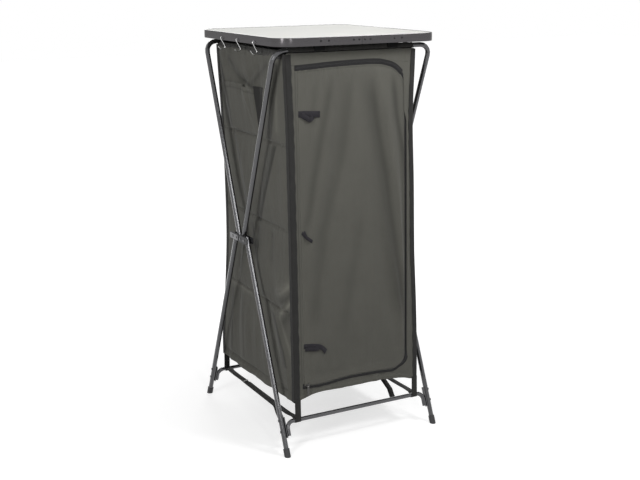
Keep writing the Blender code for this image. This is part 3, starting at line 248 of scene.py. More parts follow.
def laminate(name, color):
    """Off-white laminate with a fine pearl grain and a few fine flecks."""
    tree = material(name)
    place = tree.coords()
    grain, broad = tree.noise(place, 650.0), tree.noise(place, 5.0)
    shade = tree.mix(tree.patches(broad), tint(color, 0.985), tint(color, 1.015))
    shade = tree.mix(tree.span(grain, 0.52, 0.72, 0.0, 0.35), shade, tint(color, 0.82))
    return tree.finish(shade, tree.patches(grain, 0.56, 0.70), tree.bump(grain, 0.00012, 0.4), specular=0.10)


def moulded(name, color, roughness=0.55, specular=0.5):
    """Moulded plastic, rubber or sewing thread, with a fine spark-eroded grain."""
    tree = material(name)
    place = tree.coords()
    grain, broad = tree.noise(place, 1100.0, 2.0), tree.noise(place, 30.0)
    shade = tree.mix(tree.patches(broad), tint(color, 0.88), tint(color, 1.12))
    rough = tree.patches(broad, roughness - 0.05, roughness + 0.06)
    return tree.finish(shade, rough, tree.bump(grain, 0.00025, 0.5), specular=specular)


def fibreboard(name, color):
    """Raw board with darker fibres lying flat in it."""
    tree = material(name)
    place = tree.coords()
    flecks, broad = tree.noise(tree.stretch(place, (300, 300, 900)), 1.0, 4.0, 0.7), tree.noise(place, 12.0, 4.0)
    shade = tree.mix(tree.patches(broad), tint(color, 0.9), tint(color, 1.1))
    shade = tree.mix(tree.span(flecks, 0.5, 0.75, 0.0, 0.6), shade, tint(color, 0.55))
    return tree.finish(shade, 0.8, tree.bump(flecks, 0.0003, 0.5))


FRONT_CLOTH = woven("olive_cloth", (0.112, 0.110, 0.095), 0.00062, 0.86, 0.12)
BLACK_CLOTH = woven("black_cloth", (0.025, 0.024, 0.0225), 0.0006)
STRIP_CLOTH = woven("gathered_strip_cloth", (0.062, 0.061, 0.058), 0.0008)
WEBBING = ribbed("black_webbing", (0.021, 0.0205, 0.0195), 0.0012)
ZIP_TAPE = ribbed("zip_tape_weave", (0.014, 0.0135, 0.014), 0.0010)
TIE_WEBBING = ribbed("tie_webbing", (0.017, 0.0155, 0.0195), 0.0012)
SELVEDGE = ribbed("selvedge", (0.80, 0.80, 0.78), 0.0006)
THREAD = moulded("thread", (0.055, 0.054, 0.047), 0.7)
BLACK_THREAD = moulded("black_thread", (0.045, 0.044, 0.043), 0.7)
TEETH = moulded("zip_teeth", (0.020, 0.020, 0.021), 0.45)
STEEL = painted("painted_tube", (0.058, 0.058, 0.062), 0.19, 0.65, 0.7)
RIM_METAL = brushed("anodised_rim", (0.085, 0.081, 0.084), 0.22, 0.85, (20, 20, 700), 0.6)
RIVET_METAL = painted("rivet_head", (0.012, 0.012, 0.013), 0.20, specular=0.25)
# Painted shade: the seats under the table get a darker, duller copy of the black plastic, for the shade they sit in
SHADED_SEAT_PLASTIC = moulded("seat_plastic_shaded", (0.010, 0.010, 0.010), 0.8, 0.1)
WHITE_TOP = laminate("laminate_top", (0.70, 0.70, 0.665))
PLASTIC = moulded("black_plastic_part", (0.025, 0.025, 0.027))
ZINC = brushed("zinc_plate_metal", (0.17, 0.17, 0.175), 0.33, 1.0, (900, 30, 30))
WIRE_METAL = painted("hook_wire", (0.62, 0.62, 0.62), 0.20, 1.0)
SLIDER_METAL = painted("slider_metal", (0.075, 0.073, 0.070), 0.34, 0.9)
SHELF_BOARD = fibreboard("shelf_fibreboard", (0.30, 0.21, 0.13))


def mesh_piece(name, points, faces, mat, uv=None, smooth=True, sharp=None):
    """A new object. Sharp is the angle in degrees from which its edges stay hard."""
    mesh = bpy.data.meshes.new(name)
    mesh.from_pydata(np.asarray(points, float).reshape(-1, 3).tolist(), [], faces)
    mesh.materials.append(mat)
    if uv is not None:
        layer = mesh.uv_layers.new(name="UVMap")
        corner = np.zeros(len(mesh.loops), np.int32)
        mesh.loops.foreach_get("vertex_index", corner)
        layer.data.foreach_set("uv", np.asarray(uv, np.float32).reshape(-1, 2)[corner].ravel())
    if smooth:
        mesh.shade_smooth()
    if sharp:
        mesh.set_sharp_from_angle(angle=math.radians(sharp))
    obj = bpy.data.objects.new(name, mesh)
    bpy.context.scene.collection.objects.link(obj)
    return obj


def grid_faces(rows, columns, wrap=False):
    faces = []
    for start in range(0, (rows - 1) * columns, columns):
        for j in range(columns if wrap else columns - 1):
            k = (j + 1) % columns
            faces.append((start + j, start + k, start + columns + k, start + columns + j))
    return faces


def tube_faces(rows, columns):
    """The sides of a closed tube and its two ends."""
    ends = [tuple(range(columns))[::-1], tuple(range((rows - 1) * columns, rows * columns))]
    return grid_faces(rows, columns, wrap=True) + ends


def join(parts):
    """The points and faces of one mesh from (points, faces) pairs."""
    faces, start = [], 0
    for points, part_faces in parts:
        faces += [tuple(start + index for index in face) for face in part_faces]
        start += len(points)
    return np.concatenate([points for points, _ in parts]), faces


def apply_modifiers(obj):
    depsgraph = bpy.context.evaluated_depsgraph_get()
    mesh = bpy.data.meshes.new_from_object(obj.evaluated_get(depsgraph), depsgraph=depsgraph)
    obj.modifiers.clear()
    obj.data = mesh


def cloth_piece(name, places, uv, thickness=CLOTH, mat=FRONT_CLOTH, shade=None, offset=-1.0):
    """A sheet of cloth over a grid of points, its UV in metres. Shade is painted shade for how deep in a fold each
    point lies, kept in the attribute "fold"; below zero it is painted highlight.
    """
    obj = mesh_piece(name, places, grid_faces(*places.shape[:2]), mat, np.stack(uv, -1))
    if shade is not None:
        layer = obj.data.attributes.new("fold", "FLOAT", "POINT")
        layer.data.foreach_set("value", np.clip(np.asarray(shade, np.float32), -1, 1).ravel())
    if thickness:
        shell = obj.modifiers.new("thickness", "SOLIDIFY")
        shell.thickness, shell.offset, shell.use_rim = thickness, offset, True
    return obj


def fold_body(obj, *replaced, slot="olive_fabric", rides="cupboard"):
    """Cloth of the hanging body: it goes with the body."""
    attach(obj, rides)
    if replaced:
        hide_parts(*replaced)
    apply_modifiers(obj)
    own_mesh(obj)


def fold_door(obj, *replaced, slot="olive_fabric"):
    """A piece of the door, which goes with the door panel."""
    fold_body(obj, *replaced, slot=slot, rides="door_panel")


def ride_frame(obj, face, *replaced):
    """Webbing on a bottom rail, which goes with that side's lower frame."""
    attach(obj, f"lower_{face}_frame")
    if replaced:
        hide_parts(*replaced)
    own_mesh(obj)


def ride_top(obj, *replaced):
    """A piece of the table's metal rim."""
    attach(obj, "table_top")
    if replaced:
        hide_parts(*replaced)


def ease(x):
    x = np.clip(x, 0.0, 1.0)
    return x * x * (3 - 2 * x)


def unit(vectors):
    return vectors / np.linalg.norm(vectors, axis=-1, keepdims=True)


def run_length(line):
    """How far along a line each of its points lies."""
    return np.concatenate([[0], np.cumsum(np.linalg.norm(np.diff(line, axis=0), axis=1))])


def along(line, run, at):
    """The line's points at the given lengths."""
    return np.stack([np.interp(at, run, line[:, k]) for k in range(line.shape[1])], -1)


def resample(line, count):
    line = np.asarray(line, float)
    run = run_length(line)
    return along(line, run, np.linspace(0, run[-1], count))


def smooth_line(points, steps=8):
    """A Catmull-Rom curve through the points."""
    points = np.asarray(points, float)
    ends = np.concatenate([[2 * points[0] - points[1]], points, [2 * points[-1] - points[-2]]])
    line = []
    for p0, p1, p2, p3 in zip(ends, ends[1:], ends[2:], ends[3:]):
        for t in np.arange(steps) / steps:
            line.append(0.5 * (2 * p1 + (p2 - p0) * t + (2 * p0 - 5 * p1 + 4 * p2 - p3) * t ** 2
                               + (3 * p1 - p0 - 3 * p2 + p3) * t ** 3))
    return np.array([*line, points[-1]])


def waves(u, v, seed, size_u, size_v, count=10):
    """Soft irregular ripples, about -1 to 1."""
    rng = np.random.RandomState(seed)
    total = np.zeros(np.broadcast(u, v).shape)
    for _ in range(count):
        ku = rng.uniform(0.5, 1.5) / size_u * rng.choice((-1, 1))
        kv = rng.uniform(0.3, 1.5) / size_v
        total += np.sin(2 * math.pi * (ku * u + kv * v) + rng.uniform(0, 2 * math.pi))
    return total / math.sqrt(count)


def from_segment(u, v, start, end):
    """How far along a segment its nearest point lies (0 to 1), and the way from there to each point."""
    u0, v0 = start[0], start[1]
    du, dv = end[0] - u0, end[1] - v0
    t = np.clip(((u - u0) * du + (v - v0) * dv) / (du * du + dv * dv), 0, 1)
    return t, u - (u0 + t * du), v - (v0 + t * dv)


def crease(u, v, line, width, skew=0.0):
    """A fold along a line of (u, v, height) points: a rounded crest with straight flanks that level out.

    Skew widens the flank on the right of the line's way and narrows the other."""
    nearest = np.full(np.broadcast(u, v).shape, 1e9)
    value = np.zeros(nearest.shape)
    radius = width * 0.28
    for start, end in zip(line, line[1:]):
        t, eu, ev = from_segment(u, v, start, end)
        du, dv = end[0] - start[0], end[1] - start[1]
        distance = np.hypot(eu, ev)
        side = (eu * dv - ev * du) / (math.hypot(du, dv) * width)
        reach = width * (1 + skew * np.tanh(side * 3))
        height = start[2] + (end[2] - start[2]) * t
        here = height * np.exp(-(np.sqrt(distance ** 2 + radius ** 2) - radius) / reach)
        value = np.where(distance < nearest, here, value)
        nearest = np.minimum(nearest, distance)
    return value


def mark(u, v, line, width):
    """A crease of height 1 along a line of (u, v) points."""
    return crease(u, v, [(*point, 1.0) for point in line], width)


def blur(field, across, along_rows):
    """The field smoothed by Gaussians of the given widths in cells, its rows first."""
    for axis, width in ((0, along_rows), (1, across)):
        reach = int(3 * width) + 1
        kernel = np.exp(-0.5 * (np.arange(-reach, reach + 1) / width) ** 2)
        kernel /= kernel.sum()
        padded = np.pad(field, [(reach, reach) if a == axis else (0, 0) for a in (0, 1)], mode="edge")
        field = np.apply_along_axis(lambda line: np.convolve(line, kernel, "valid"), axis, padded)
    return field


def raster(low, high, step, profile):
    """A raster of folds: profile gives the line of (place, height) points across it at one level."""
    u, v = (np.arange(low[i], high[i], step[i]) for i in (0, 1))
    return np.array([np.interp(u, *np.transpose(profile(level))) for level in v])


def sample(field, low, step, u, v):
    """Bilinear reading of a raster whose cell (row, column) stands at v, u = low + step * index."""
    u, v = np.broadcast_arrays(np.asarray(u, float), np.asarray(v, float))
    column = np.clip((u - low[0]) / step[0], 0, field.shape[1] - 1.001)
    row = np.clip((v - low[1]) / step[1], 0, field.shape[0] - 1.001)
    i, j = row.astype(int), column.astype(int)
    fi, fj = row - i, column - j
    upper = field[i, j] * (1 - fj) + field[i, j + 1] * fj
    lower = field[i + 1, j] * (1 - fj) + field[i + 1, j + 1] * fj
    return upper * (1 - fi) + lower * fi


def corner_x(side, face, z):
    """The fabric corner's place at height z, on a smooth curve through its offsets."""
    offsets, shares = np.array(CORNER_OFFSETS[side, face]), np.array(CORNER_SHARES)
    down = np.clip((WALL_TOP - np.asarray(z, float)) / (WALL_TOP - SIDE_HEM), 0.0, 1.0)
    i = np.clip(np.searchsorted(shares, down, "right") - 1, 0, len(shares) - 2)
    t = (down - shares[i]) / (shares[i + 1] - shares[i])
    a, b = offsets[i], offsets[i + 1]
    m0 = (b - offsets[np.maximum(i - 1, 0)]) / 2
    m1 = (offsets[np.minimum(i + 2, len(offsets) - 1)] - a) / 2
    offset = a + t * (m0 + t * (-3 * a + 3 * b - 2 * m0 - m1 + t * (2 * a - 2 * b + m0 + m1)))
    return SIDE[side] * (BODY_WIDTH / 2 + offset)


def face_y(face, z):
    share = (WALL_TOP - np.asarray(z, float)) / (WALL_TOP - SIDE_HEM)
    return FACE[face] * (FRONT_TOP_Y + (FRONT_HEM_Y - FRONT_TOP_Y) * share)


def wall_reach(z):
    """Half the side wall's depth."""
    return np.abs(face_y("front", z)) - WALL_INSET


def wall_base(side, y, z, reach):
    """The side wall without its folds, straight from corner to corner."""
    share = (y + reach) / (2 * reach)
    return corner_x(side, "front", z) * (1 - share) + corner_x(side, "back", z) * share


def wall_x(side, y, z):
    """The side wall's outer surface."""
    reach = wall_reach(z)
    return wall_base(side, y, z, reach) + SIDE[side] * hung_cloth(y, z, *WALL_FOLDS[side], reach)


def lean(x, z):
    """The door's edges and zip lean to one side on their way down."""
    return x + DOOR_LEAN * (ZIP_TOP - z) / (ZIP_TOP - ZIP_BOTTOM)


def hem_height(x):
    return np.interp(x, *np.transpose(FRONT_HEM))


def shelf_gap(z):
    """Distance to the nearest shelf seam, and how full the cloth hangs there (0 at seams, 1 between)."""
    levels = np.array([*SHELVES, WALL_TOP + 0.02])
    gap = np.min(np.abs(np.asarray(z)[..., None] - levels), axis=-1)
    index = np.clip(np.searchsorted(levels, z) - 1, 0, len(levels) - 2)
    share = np.clip((z - levels[index]) / (levels[index + 1] - levels[index]), 0, 1)
    below = np.clip((levels[0] - z) / 0.03, 0, 1) * 0.5
    return gap, np.where(z < levels[0], below, np.sin(math.pi * share) ** 0.8)


# Fold lines of the left wall from back to front, one group per compartment: heights in m, then for each line
# its y in mm and how far the cloth stands out in mm, as the photograph's slanting view shows them
LEFT_FOLDS = (
    ((1.25, 1.16, 1.08, 0.98), (((268, 240, 210, 182), (0, 1, 1, 0)), ((262, 222, 187, 160), (1, 12, 14, 8)),
     ((120, 100, 90, 90), (3, 9, 9, 5)), ((10, 10, 20, 30), (3, 7, 6, 3)), ((-60, -80, -75, -70), (1, 1, 0, 0)),
     ((-172, -168, -155, -140), (3, 10, 11, 7)), ((-225, -222, -215, -205), (1, 3, 4, 2)))),
    ((0.97, 0.89, 0.82, 0.76, 0.712), (((215, 205, 190, 180, 175), (2, 5, 6, 5, 1)), ((166, 128, 106, 88, 74),
     (0, 0, 1, 1, 0)), ((146, 103, 82, 62, 48), (4, 11, 12, 8, 3)), ((20, 20, 20, 15, 10), (3, 7, 8, 6, 2)),
     ((-112, -84, -55, -28, -10), (0, 0, 1, 1, 0)), ((-150, -122, -88, -52, -32), (4, 11, 13, 9, 3)),
     ((-205, -195, -180, -170, -160), (2, 4, 5, 4, 1)))),
    ((0.708, 0.64, 0.57, 0.5, 0.45), (((210, 200, 195, 190, 190), (1, 5, 6, 4, 1)), ((92, 110, 130, 152, 162),
     (0, 1, 1, 0, 0)), ((70, 88, 108, 130, 142), (1, 4, 8, 8, 3)), ((45, 32, 12, -16, -38), (1, 1, 1, 1, 0)),
     ((12, 2, -18, -46, -66), (3, 7, 11, 11, 5)), ((-110, -115, -120, -130, -140), (2, 5, 6, 5, 2)),
     ((-190, -195, -200, -200, -200), (1, 3, 4, 4, 1)))),
    ((0.445, 0.38, 0.32, 0.26, 0.2, 0.15), (((206, 208, 214, 222, 224, 226), (0, 0, 0, 0, 0, 0)),
     ((182, 184, 190, 199, 203, 205), (2, 5, 7, 7, 5, 3)), ((128, 130, 130, 130, 130, 130), (1, 2, 2, 2, 2, 1)),
     ((106, 106, 106, 106, 104, 102), (3, 8, 9, 8, 6, 4)), ((0, -10, -20, -30, -30, -30), (2, 4, 4, 4, 3, 2)),
     ((-98, -126, -160, -190, -205, -210), (0, 0, 1, 1, 1, 0)), ((-128, -160, -196, -218, -228, -230),
     (5, 12, 12, 6, 3, 1)))),
)
WALL_LOW, WALL_HIGH, WALL_STEP = (-0.276, 0.148), (0.277, 1.254), (0.002, 0.003)
STAND, SLANT = 1.25, 1.84
# Creases of each wall: width, skew, then (y or x, z, how far out)
LEFT_CREASES = (
    (0.016, 0.0, ((0.165, 1.195, -0.005), (0.05, 1.15, -0.011))),
    (0.016, 0.0, ((-0.078, 1.2, -0.005), (0.03, 1.148, -0.011))),
    (0.012, 0.0, ((-0.026, 0.68, -0.006), (-0.006, 0.59, -0.003))),
    (0.012, 0.0, ((-0.128, 0.68, -0.006), (-0.121, 0.6, -0.002))),
    (0.013, 0.0, ((-0.16, 0.494, 0.002), (-0.2, 0.512, 0.01), (-0.246, 0.536, 0.013))),
    (0.011, 0.0, ((-0.168, 0.432, 0.003), (-0.205, 0.45, 0.012), (-0.247, 0.476, 0.014))),
)
RIGHT_CREASES = (
    (0.019, 0.3, ((-0.225, 1.24, -0.0062), (-0.17, 1.12, -0.017), (-0.13, 0.985, -0.0093))),
    (0.017, 0.2, ((0.21, 1.235, -0.0062), (0.15, 1.1, -0.0155), (0.12, 0.985, -0.0093))),
    (0.02, 0.0, ((-0.02, 1.19, -0.0047), (0.01, 1.08, -0.0109), (0.0, 0.99, -0.0062))),
    (0.019, 0.3, ((-0.14, 0.965, -0.0093), (-0.08, 0.84, -0.017), (-0.06, 0.72, -0.0062))),
    (0.017, -0.3, ((0.17, 0.96, -0.0078), (0.12, 0.85, -0.0139), (0.105, 0.725, -0.0078))),
    (0.015, 0.0, ((0.02, 0.7, -0.0078), (0.045, 0.58, -0.0124), (0.03, 0.455, -0.0062))),
    (0.019, 0.3, ((-0.18, 0.7, -0.0062), (-0.15, 0.58, -0.0124), (-0.12, 0.455, -0.0078))),
    (0.017, 0.0, ((0.19, 0.43, -0.0078), (0.15, 0.32, -0.0139), (0.165, 0.2, -0.0078))),
    (0.017, 0.3, ((-0.06, 0.43, -0.0078), (-0.095, 0.31, -0.0139), (-0.08, 0.17, -0.0093))),
    (0.015, 0.0, ((0.25, 0.56, 0.0109), (0.19, 0.52, 0.0047))),
    (0.015, 0.0, ((-0.25, 0.47, 0.0109), (-0.2, 0.44, 0.0047))),
)
BACK_CREASES = (
    (0.02, 0.3, ((-0.19, 1.235, -0.0047), (-0.12, 1.11, -0.0139), (-0.09, 0.99, -0.0078))),
    (0.02, -0.3, ((0.18, 1.235, -0.0047), (0.13, 1.11, -0.0139), (0.11, 0.99, -0.0078))),
    (0.017, 0.0, ((0.02, 1.2, -0.0047), (0.0, 1.08, -0.0093), (0.015, 0.99, -0.0047))),
    (0.019, 0.3, ((-0.16, 0.96, -0.0062), (-0.1, 0.84, -0.0124), (-0.11, 0.72, -0.0062))),
    (0.017, 0.0, ((0.09, 0.96, -0.0062), (0.07, 0.84, -0.0124), (0.09, 0.72, -0.0062))),
    (0.017, 0.0, ((-0.04, 0.7, -0.0062), (-0.07, 0.58, -0.0109), (-0.05, 0.455, -0.0047))),
    (0.019, 0.0, ((0.15, 0.7, -0.0062), (0.13, 0.58, -0.0109), (0.15, 0.455, -0.0047))),
    (0.017, 0.0, ((-0.13, 0.435, -0.0062), (-0.15, 0.31, -0.0109), (-0.12, 0.19, -0.0062))),
    (0.017, 0.0, ((0.06, 0.435, -0.0062), (0.045, 0.31, -0.0109), (0.07, 0.19, -0.0062))),
)
# Painted shade behind the left wall's fold crests: how far it reaches back, how deep it lies, then (y, z) of the
# crest before
LEFT_SHADES = (
    (0.066, 1.0, ((0.264, 1.25), (0.243, 1.206), (0.213, 1.152), (0.18, 1.08), (0.157, 0.985))),
    (0.022, 0.7, ((0.148, 0.974), (0.104, 0.89), (0.083, 0.82), (0.063, 0.76), (0.05, 0.706))),
    (0.056, 0.8, ((-0.183, 1.225), (-0.175, 1.16), (-0.155, 1.08), (-0.129, 0.982))),
    (0.046, 0.9, ((-0.166, 0.97), (-0.124, 0.885), (-0.093, 0.824), (-0.066, 0.762), (-0.044, 0.7))),
    (0.02, 0.45, ((0.074, 0.69), (0.09, 0.64), (0.11, 0.57), (0.132, 0.5))),
    (0.034, 0.55, ((0.014, 0.69), (0.002, 0.64), (-0.018, 0.57), (-0.046, 0.5), (-0.064, 0.455))),
    (0.024, 0.5, ((0.184, 0.42), (0.19, 0.38), (0.196, 0.32), (0.2, 0.26), (0.204, 0.2))),
    (0.02, 0.4, ((0.108, 0.425), (0.108, 0.32), (0.106, 0.2))),
    (0.036, 0.65, ((-0.13, 0.425), (-0.16, 0.38), (-0.196, 0.32), (-0.218, 0.26))),
)
# Narrow painted shade along creases of the left wall, and narrow painted highlights on creases where light falls:
# half width, strength, then (y, z)
LEFT_SHADE_LINES = (
    (0.01, 0.66, ((0.175, 1.212), (0.134, 1.185), (0.082, 1.15), (0.06, 1.146))),
    (0.01, 0.64, ((-0.102, 1.21), (-0.05, 1.178), (0.004, 1.146))),
    (0.005, 1.0, ((0.07, 1.15), (0.043, 1.145), (0.0, 1.135))),
    (0.005, 0.45, ((0.168, 1.149), (0.163, 1.139))),
    (0.008, 0.42, ((-0.026, 0.676), (-0.006, 0.59))),
    (0.008, 0.42, ((-0.128, 0.676), (-0.121, 0.6))),
    (0.014, 0.6, ((-0.185, 0.474), (-0.215, 0.49), (-0.25, 0.51))),
    (0.018, 0.6, ((-0.192, 0.41), (-0.215, 0.428), (-0.25, 0.446))),
)
LEFT_HIGHLIGHTS = (
    (0.0055, 0.55, ((-0.1702, 0.4227), (-0.1997, 0.3804), (-0.229, 0.3384), (-0.2506, 0.3016))),
    (0.005, 0.55, ((0.1999, 0.4381), (0.1187, 0.4411), (0.0405, 0.4402))),
    (0.006, 0.16, ((0.1121, 0.398), (0.1182, 0.315), (0.1216, 0.216))),
    (0.0085, 1.0, ((-0.1784, 0.4366), (-0.2095, 0.457), (-0.2464, 0.483))),
    (0.011, 0.85, ((-0.1727, 0.5021), (-0.2038, 0.5197), (-0.2464, 0.54))),
    (0.006, 0.4, ((0.0393, 1.1263), (0.0165, 1.0588), (-0.0018, 0.991))),
    (0.005, 0.22, ((0.0046, 1.1295), (-0.0243, 1.0158))),
    (0.004, 1.0, ((0.0519, 1.1334), (0.0003, 1.1272))),
    (0.008, 0.35, ((-0.1609, 1.1587), (-0.168, 1.0895), (-0.1689, 1.019))),
    (0.0035, 0.18, ((0.1462, 0.9714), (-0.0054, 0.9736))),
)
WALL_FOLDS = {"left": (LEFT_CREASES, 11), "right": (RIGHT_CREASES, 31)}
BACK_SEED, BACK_REACH = 51, 0.228


def left_profile(height):
    """The left wall's folds at one height, each compartment between its own seams."""
    levels, lines = next((group for group in LEFT_FOLDS if height >= group[0][-1]), LEFT_FOLDS[-1])
    down = np.array(levels)[::-1]
    points = [(0.268, 0.0)]
    for places, heights in lines:
        true = np.array(places) - SLANT * STAND * np.array(heights)
        points.append((min(np.interp(height, down, true[::-1]) / 1000, points[-1][0] - 0.001),
                       np.interp(height, down, np.array(heights)[::-1])))
    points.append((min(-0.262, points[-1][0] - 0.001), 0.0))
    return points[::-1]


LEFT_RASTER = raster(WALL_LOW, WALL_HIGH, WALL_STEP, left_profile)
LEFT_RELIEF = (0.75 * blur(LEFT_RASTER, 0.9, 3.0) + 0.25 * blur(LEFT_RASTER, 3.5, 5.0)) / 1000 * STAND


def left_painted_shading(x, y, z):
    """How deep in painted fold shade each point of the left wall lies: dark behind a crest, fading towards the back.

    Painted highlights on the crests that catch the light come out below zero.
    """
    y = y + SLANT * (-x - BODY_WIDTH / 2)
    total = np.zeros(y.shape)
    for reach, painted_shading, line in LEFT_SHADES:
        line = np.array(line)[::-1]
        inside = ease((z - line[0, 1] + 0.004) / 0.012) * ease((line[-1, 1] + 0.004 - z) / 0.012)
        behind = (y - np.interp(z, line[:, 1], line[:, 0])) / reach
        total = np.maximum(total, painted_shading * inside * ease((behind + 0.10) / 0.22) * ease((1.1 - behind) / 0.95))
    for width, painted_shading, line in LEFT_SHADE_LINES:
        total = np.maximum(total, painted_shading * mark(y, z, line, width))
    # Painted shade in a thin line beside each shelf seam
    total = np.maximum(total, 0.25 * np.exp(-((shelf_gap(z)[0] - 0.0035) / 0.0022) ** 2))
    for width, amount, line in LEFT_HIGHLIGHTS:
        total = total - amount * mark(y, z, line, width)
    return total


def hung_cloth(across, z, creases, seed, reach):
    """How far a hung wall stands out: fullness between shelves, folds, and puckers along the seams."""
    gap, full = shelf_gap(z)
    away = np.abs(across)
    edge = ease((reach - away - 0.010) / 0.035)
    body = 0.0045 * full * np.cos(0.5 * math.pi * np.clip(away / reach, 0, 1)) ** 0.7
    body += 0.0009 * full * waves(across, z, seed, 0.085, 0.75)
    body += 0.0003 * full * waves(across, z, seed + 1, 0.030, 0.22)
    folds = sum(crease(across, z, line, width, skew) for width, skew, line in creases)
    if creases is LEFT_CREASES:
        folds = folds + sample(LEFT_RELIEF, WALL_LOW, WALL_STEP, across, z)
    pucker = 0.0007 * waves(across, z, seed + 2, 0.020, 0.6) * np.exp(-gap / 0.018)
    seam = -0.0026 * np.exp(-(gap / 0.0026) ** 2) - 0.0012 * np.exp(-gap / 0.010)
    near_hem = 0.0012 * ease((CLOTH_HEM + 0.0135 - z) / 0.0012)
    hem_wave = 0.003 * waves(across, z, seed + 3, 0.11, 3.0) * ease((CLOTH_HEM + 0.05 - z) / 0.05)
    hold = ease(gap / 0.010) * 0.85 + 0.15
    flat = edge * (body + folds * hold + hem_wave) + edge * pucker + seam * (0.4 + 0.6 * edge)
    return flat + near_hem * ease((reach - away - 0.006) / 0.004)


def side_wall(side):
    across, z = np.meshgrid(np.linspace(-1, 1, 134) * SIDE[side], np.linspace(CLOTH_HEM, WALL_TOP, 268))
    y = across * wall_reach(z)
    x = wall_x(side, y, z)
    shade = left_painted_shading(x, y, z) if side == "left" else None
    obj = cloth_piece(f"cloth_{side}_wall", np.stack([x, y, z], -1), (y, z), shade=shade)
    fold_body(obj, f"{side}_wall")


def back_wall():
    share, z = np.meshgrid(np.linspace(1, 0, 112), np.linspace(CLOTH_HEM, WALL_TOP, 268))
    left, right = corner_x("left", "back", z), corner_x("right", "back", z)
    x = left + (right - left) * share
    y = face_y("back", z) + hung_cloth(x, z, BACK_CREASES, BACK_SEED, BACK_REACH)
    obj = cloth_piece("cloth_back_wall", np.stack([x, y, z], -1), (x, z))
    fold_body(obj, "back_wall")


# Fold lines of the door from left to right: x in mm at each height, and how far the cloth stands out in mm
DOOR_HEIGHTS = (1.21, 1.10, 1.00, 0.88, 0.78, 0.66, 0.54, 0.42, 0.33, 0.22)
DOOR_FOLDS = (
    ((-110, -122, -133, -158, -172, -185, -195, -198, -199, -199), (0, 0.5, 0.5, 0.5, 0.5, 0.3, 0, 0, 0, 0)),
    ((-80, -90, -98, -120, -140, -162, -176, -186, -189, -190), (1.5, 6, 7.5, 8, 8, 6, 4, 2, 1, 0)),
    ((-50, -56, -62, -82, -104, -130, -152, -168, -176, -178), (0.5, 2.5, 2.5, 2.5, 2.5, 2, 1.5, 1, 0.5, 0)),
    ((-24, -26, -32, -52, -72, -96, -126, -148, -158, -163), (1.5, 7, 9, 10.5, 11, 10.5, 9, 7, 5, 1)),
    ((5, 12, 22, 35, 30, 38, 62, 86, 118, 146), (1, 6, 7.5, 8.5, 8.5, 8, 9.5, 9, 7, 1)),
    ((20, 30, 43, 60, 60, 78, 100, 124, 148, 160), (0.9, 4.5, 5.5, 6, 5, 4, 3.5, 3, 2.5, 0)),
    ((30, 42, 56, 75, 82, 105, 137, 160, 172, 178), (0.8, 2.5, 3.5, 4, 8.5, 12.5, 14, 12, 9, 1)),
    ((40, 52, 70, 94, 113, 131, 154, 171, 179, 182), (0.5, 0.8, 1, 1.5, 3, 4, 4, 3, 2, 0)),
    ((69, 91, 113, 132, 148, 161, 173, 178, 181, 184), (2, 11, 16, 17, 16.5, 14, 11, 7, 3, 0)),
    ((106, 130, 148, 161, 167, 171, 176, 180, 183, 185), (0, 0.5, 0, 0, 0, 0.5, 1, 0.5, 0, 0)),
)
DOOR_LOW, DOOR_HIGH, DOOR_STEP = (-0.240, 0.150), (0.241, 1.252), (0.0015, 0.004)
# Painted shade on the deep sides of the door's folds: half widths to the left and right, how deep, then (x, z)
DOOR_SHADES = (
    (0.015, 0.012, 0.38, ((-0.085, 1.21), (-0.0856, 1.19), (-0.0964, 1.123), (-0.1094, 1.062), (-0.126, 0.99),
     (-0.151, 0.866), (-0.166, 0.771), (-0.1806, 0.716), (-0.19, 0.64))),
    (0.026, 0.016, 0.3, ((-0.017, 1.21), (-0.02, 1.18), (-0.0273, 1.124), (-0.0324, 1.079), (-0.041, 1.02),
     (-0.0558, 0.927), (-0.0746, 0.859), (-0.0931, 0.794), (-0.1159, 0.699), (-0.1278, 0.601), (-0.1395, 0.534),
     (-0.15, 0.44), (-0.16, 0.34))),
    (0.034, 0.014, 0.52, ((0.05, 1.2), (0.06, 1.12), (0.0737, 1.028), (0.0898, 0.942), (0.1056, 0.873),
     (0.1178, 0.772), (0.1338, 0.685), (0.1463, 0.597), (0.1587, 0.529), (0.1714, 0.44), (0.176, 0.33))),
    (0.012, 0.009, 0.6, ((0.131, 1.215), (0.133, 1.18), (0.1364, 1.137), (0.14, 1.111), (0.146, 1.048),
     (0.157, 0.997), (0.165, 0.959), (0.173, 0.915), (0.176, 0.8))),
    (0.022, 0.018, 0.2, ((0.015, 0.78), (0.01, 0.72), (-0.002, 0.62), (-0.02, 0.54), (-0.036, 0.44),
     (-0.05, 0.3))),
    (0.012, 0.012, 0.2, ((-0.138, 1.215), (-0.14, 1.185), (-0.147, 1.12), (-0.156, 1.05), (-0.17, 0.96))),
)


def door_profile(height):
    """The door's folds at one height: straight flanks between the fold lines."""
    down = np.array(DOOR_HEIGHTS)[::-1]
    right = lean(DOOR_RIGHT - ZIP_HALF, height)
    points = [(lean(DOOR_LEFT, height), 0.0)]
    for index, (places, heights) in enumerate(DOOR_FOLDS):
        at = np.interp(height, down, np.array(places)[::-1]) / 1000
        limit = right - 0.0012 * (len(DOOR_FOLDS) - index)
        out = np.interp(height, down, np.array(heights)[::-1])
        points.append((max(min(at, limit), points[-1][0] + 0.0008), out))
    return [*points, (right + 0.004, 0.0)]


DOOR_RASTER = raster(DOOR_LOW, DOOR_HIGH, DOOR_STEP, door_profile)
DOOR_RELIEF = (0.55 * blur(DOOR_RASTER, 1.3, 3.0) + 0.45 * blur(DOOR_RASTER, 4.0, 6.0)) / 1000


def door_painted_shade(x, out, z):
    """How deep in painted fold shade each point of the door lies."""
    x = x + 0.54 * out
    total = np.zeros(x.shape)
    for left, right, painted_shading, line in DOOR_SHADES:
        line = np.array(line)[::-1]
        away = x - np.interp(z, line[:, 1], line[:, 0])
        inside = ease((z - line[0, 1]) / 0.14) * ease((line[-1, 1] - z) / 0.10)
        total = np.maximum(total, painted_shading * inside * np.exp(-(away / np.where(away < 0, left, right)) ** 2))
    return total


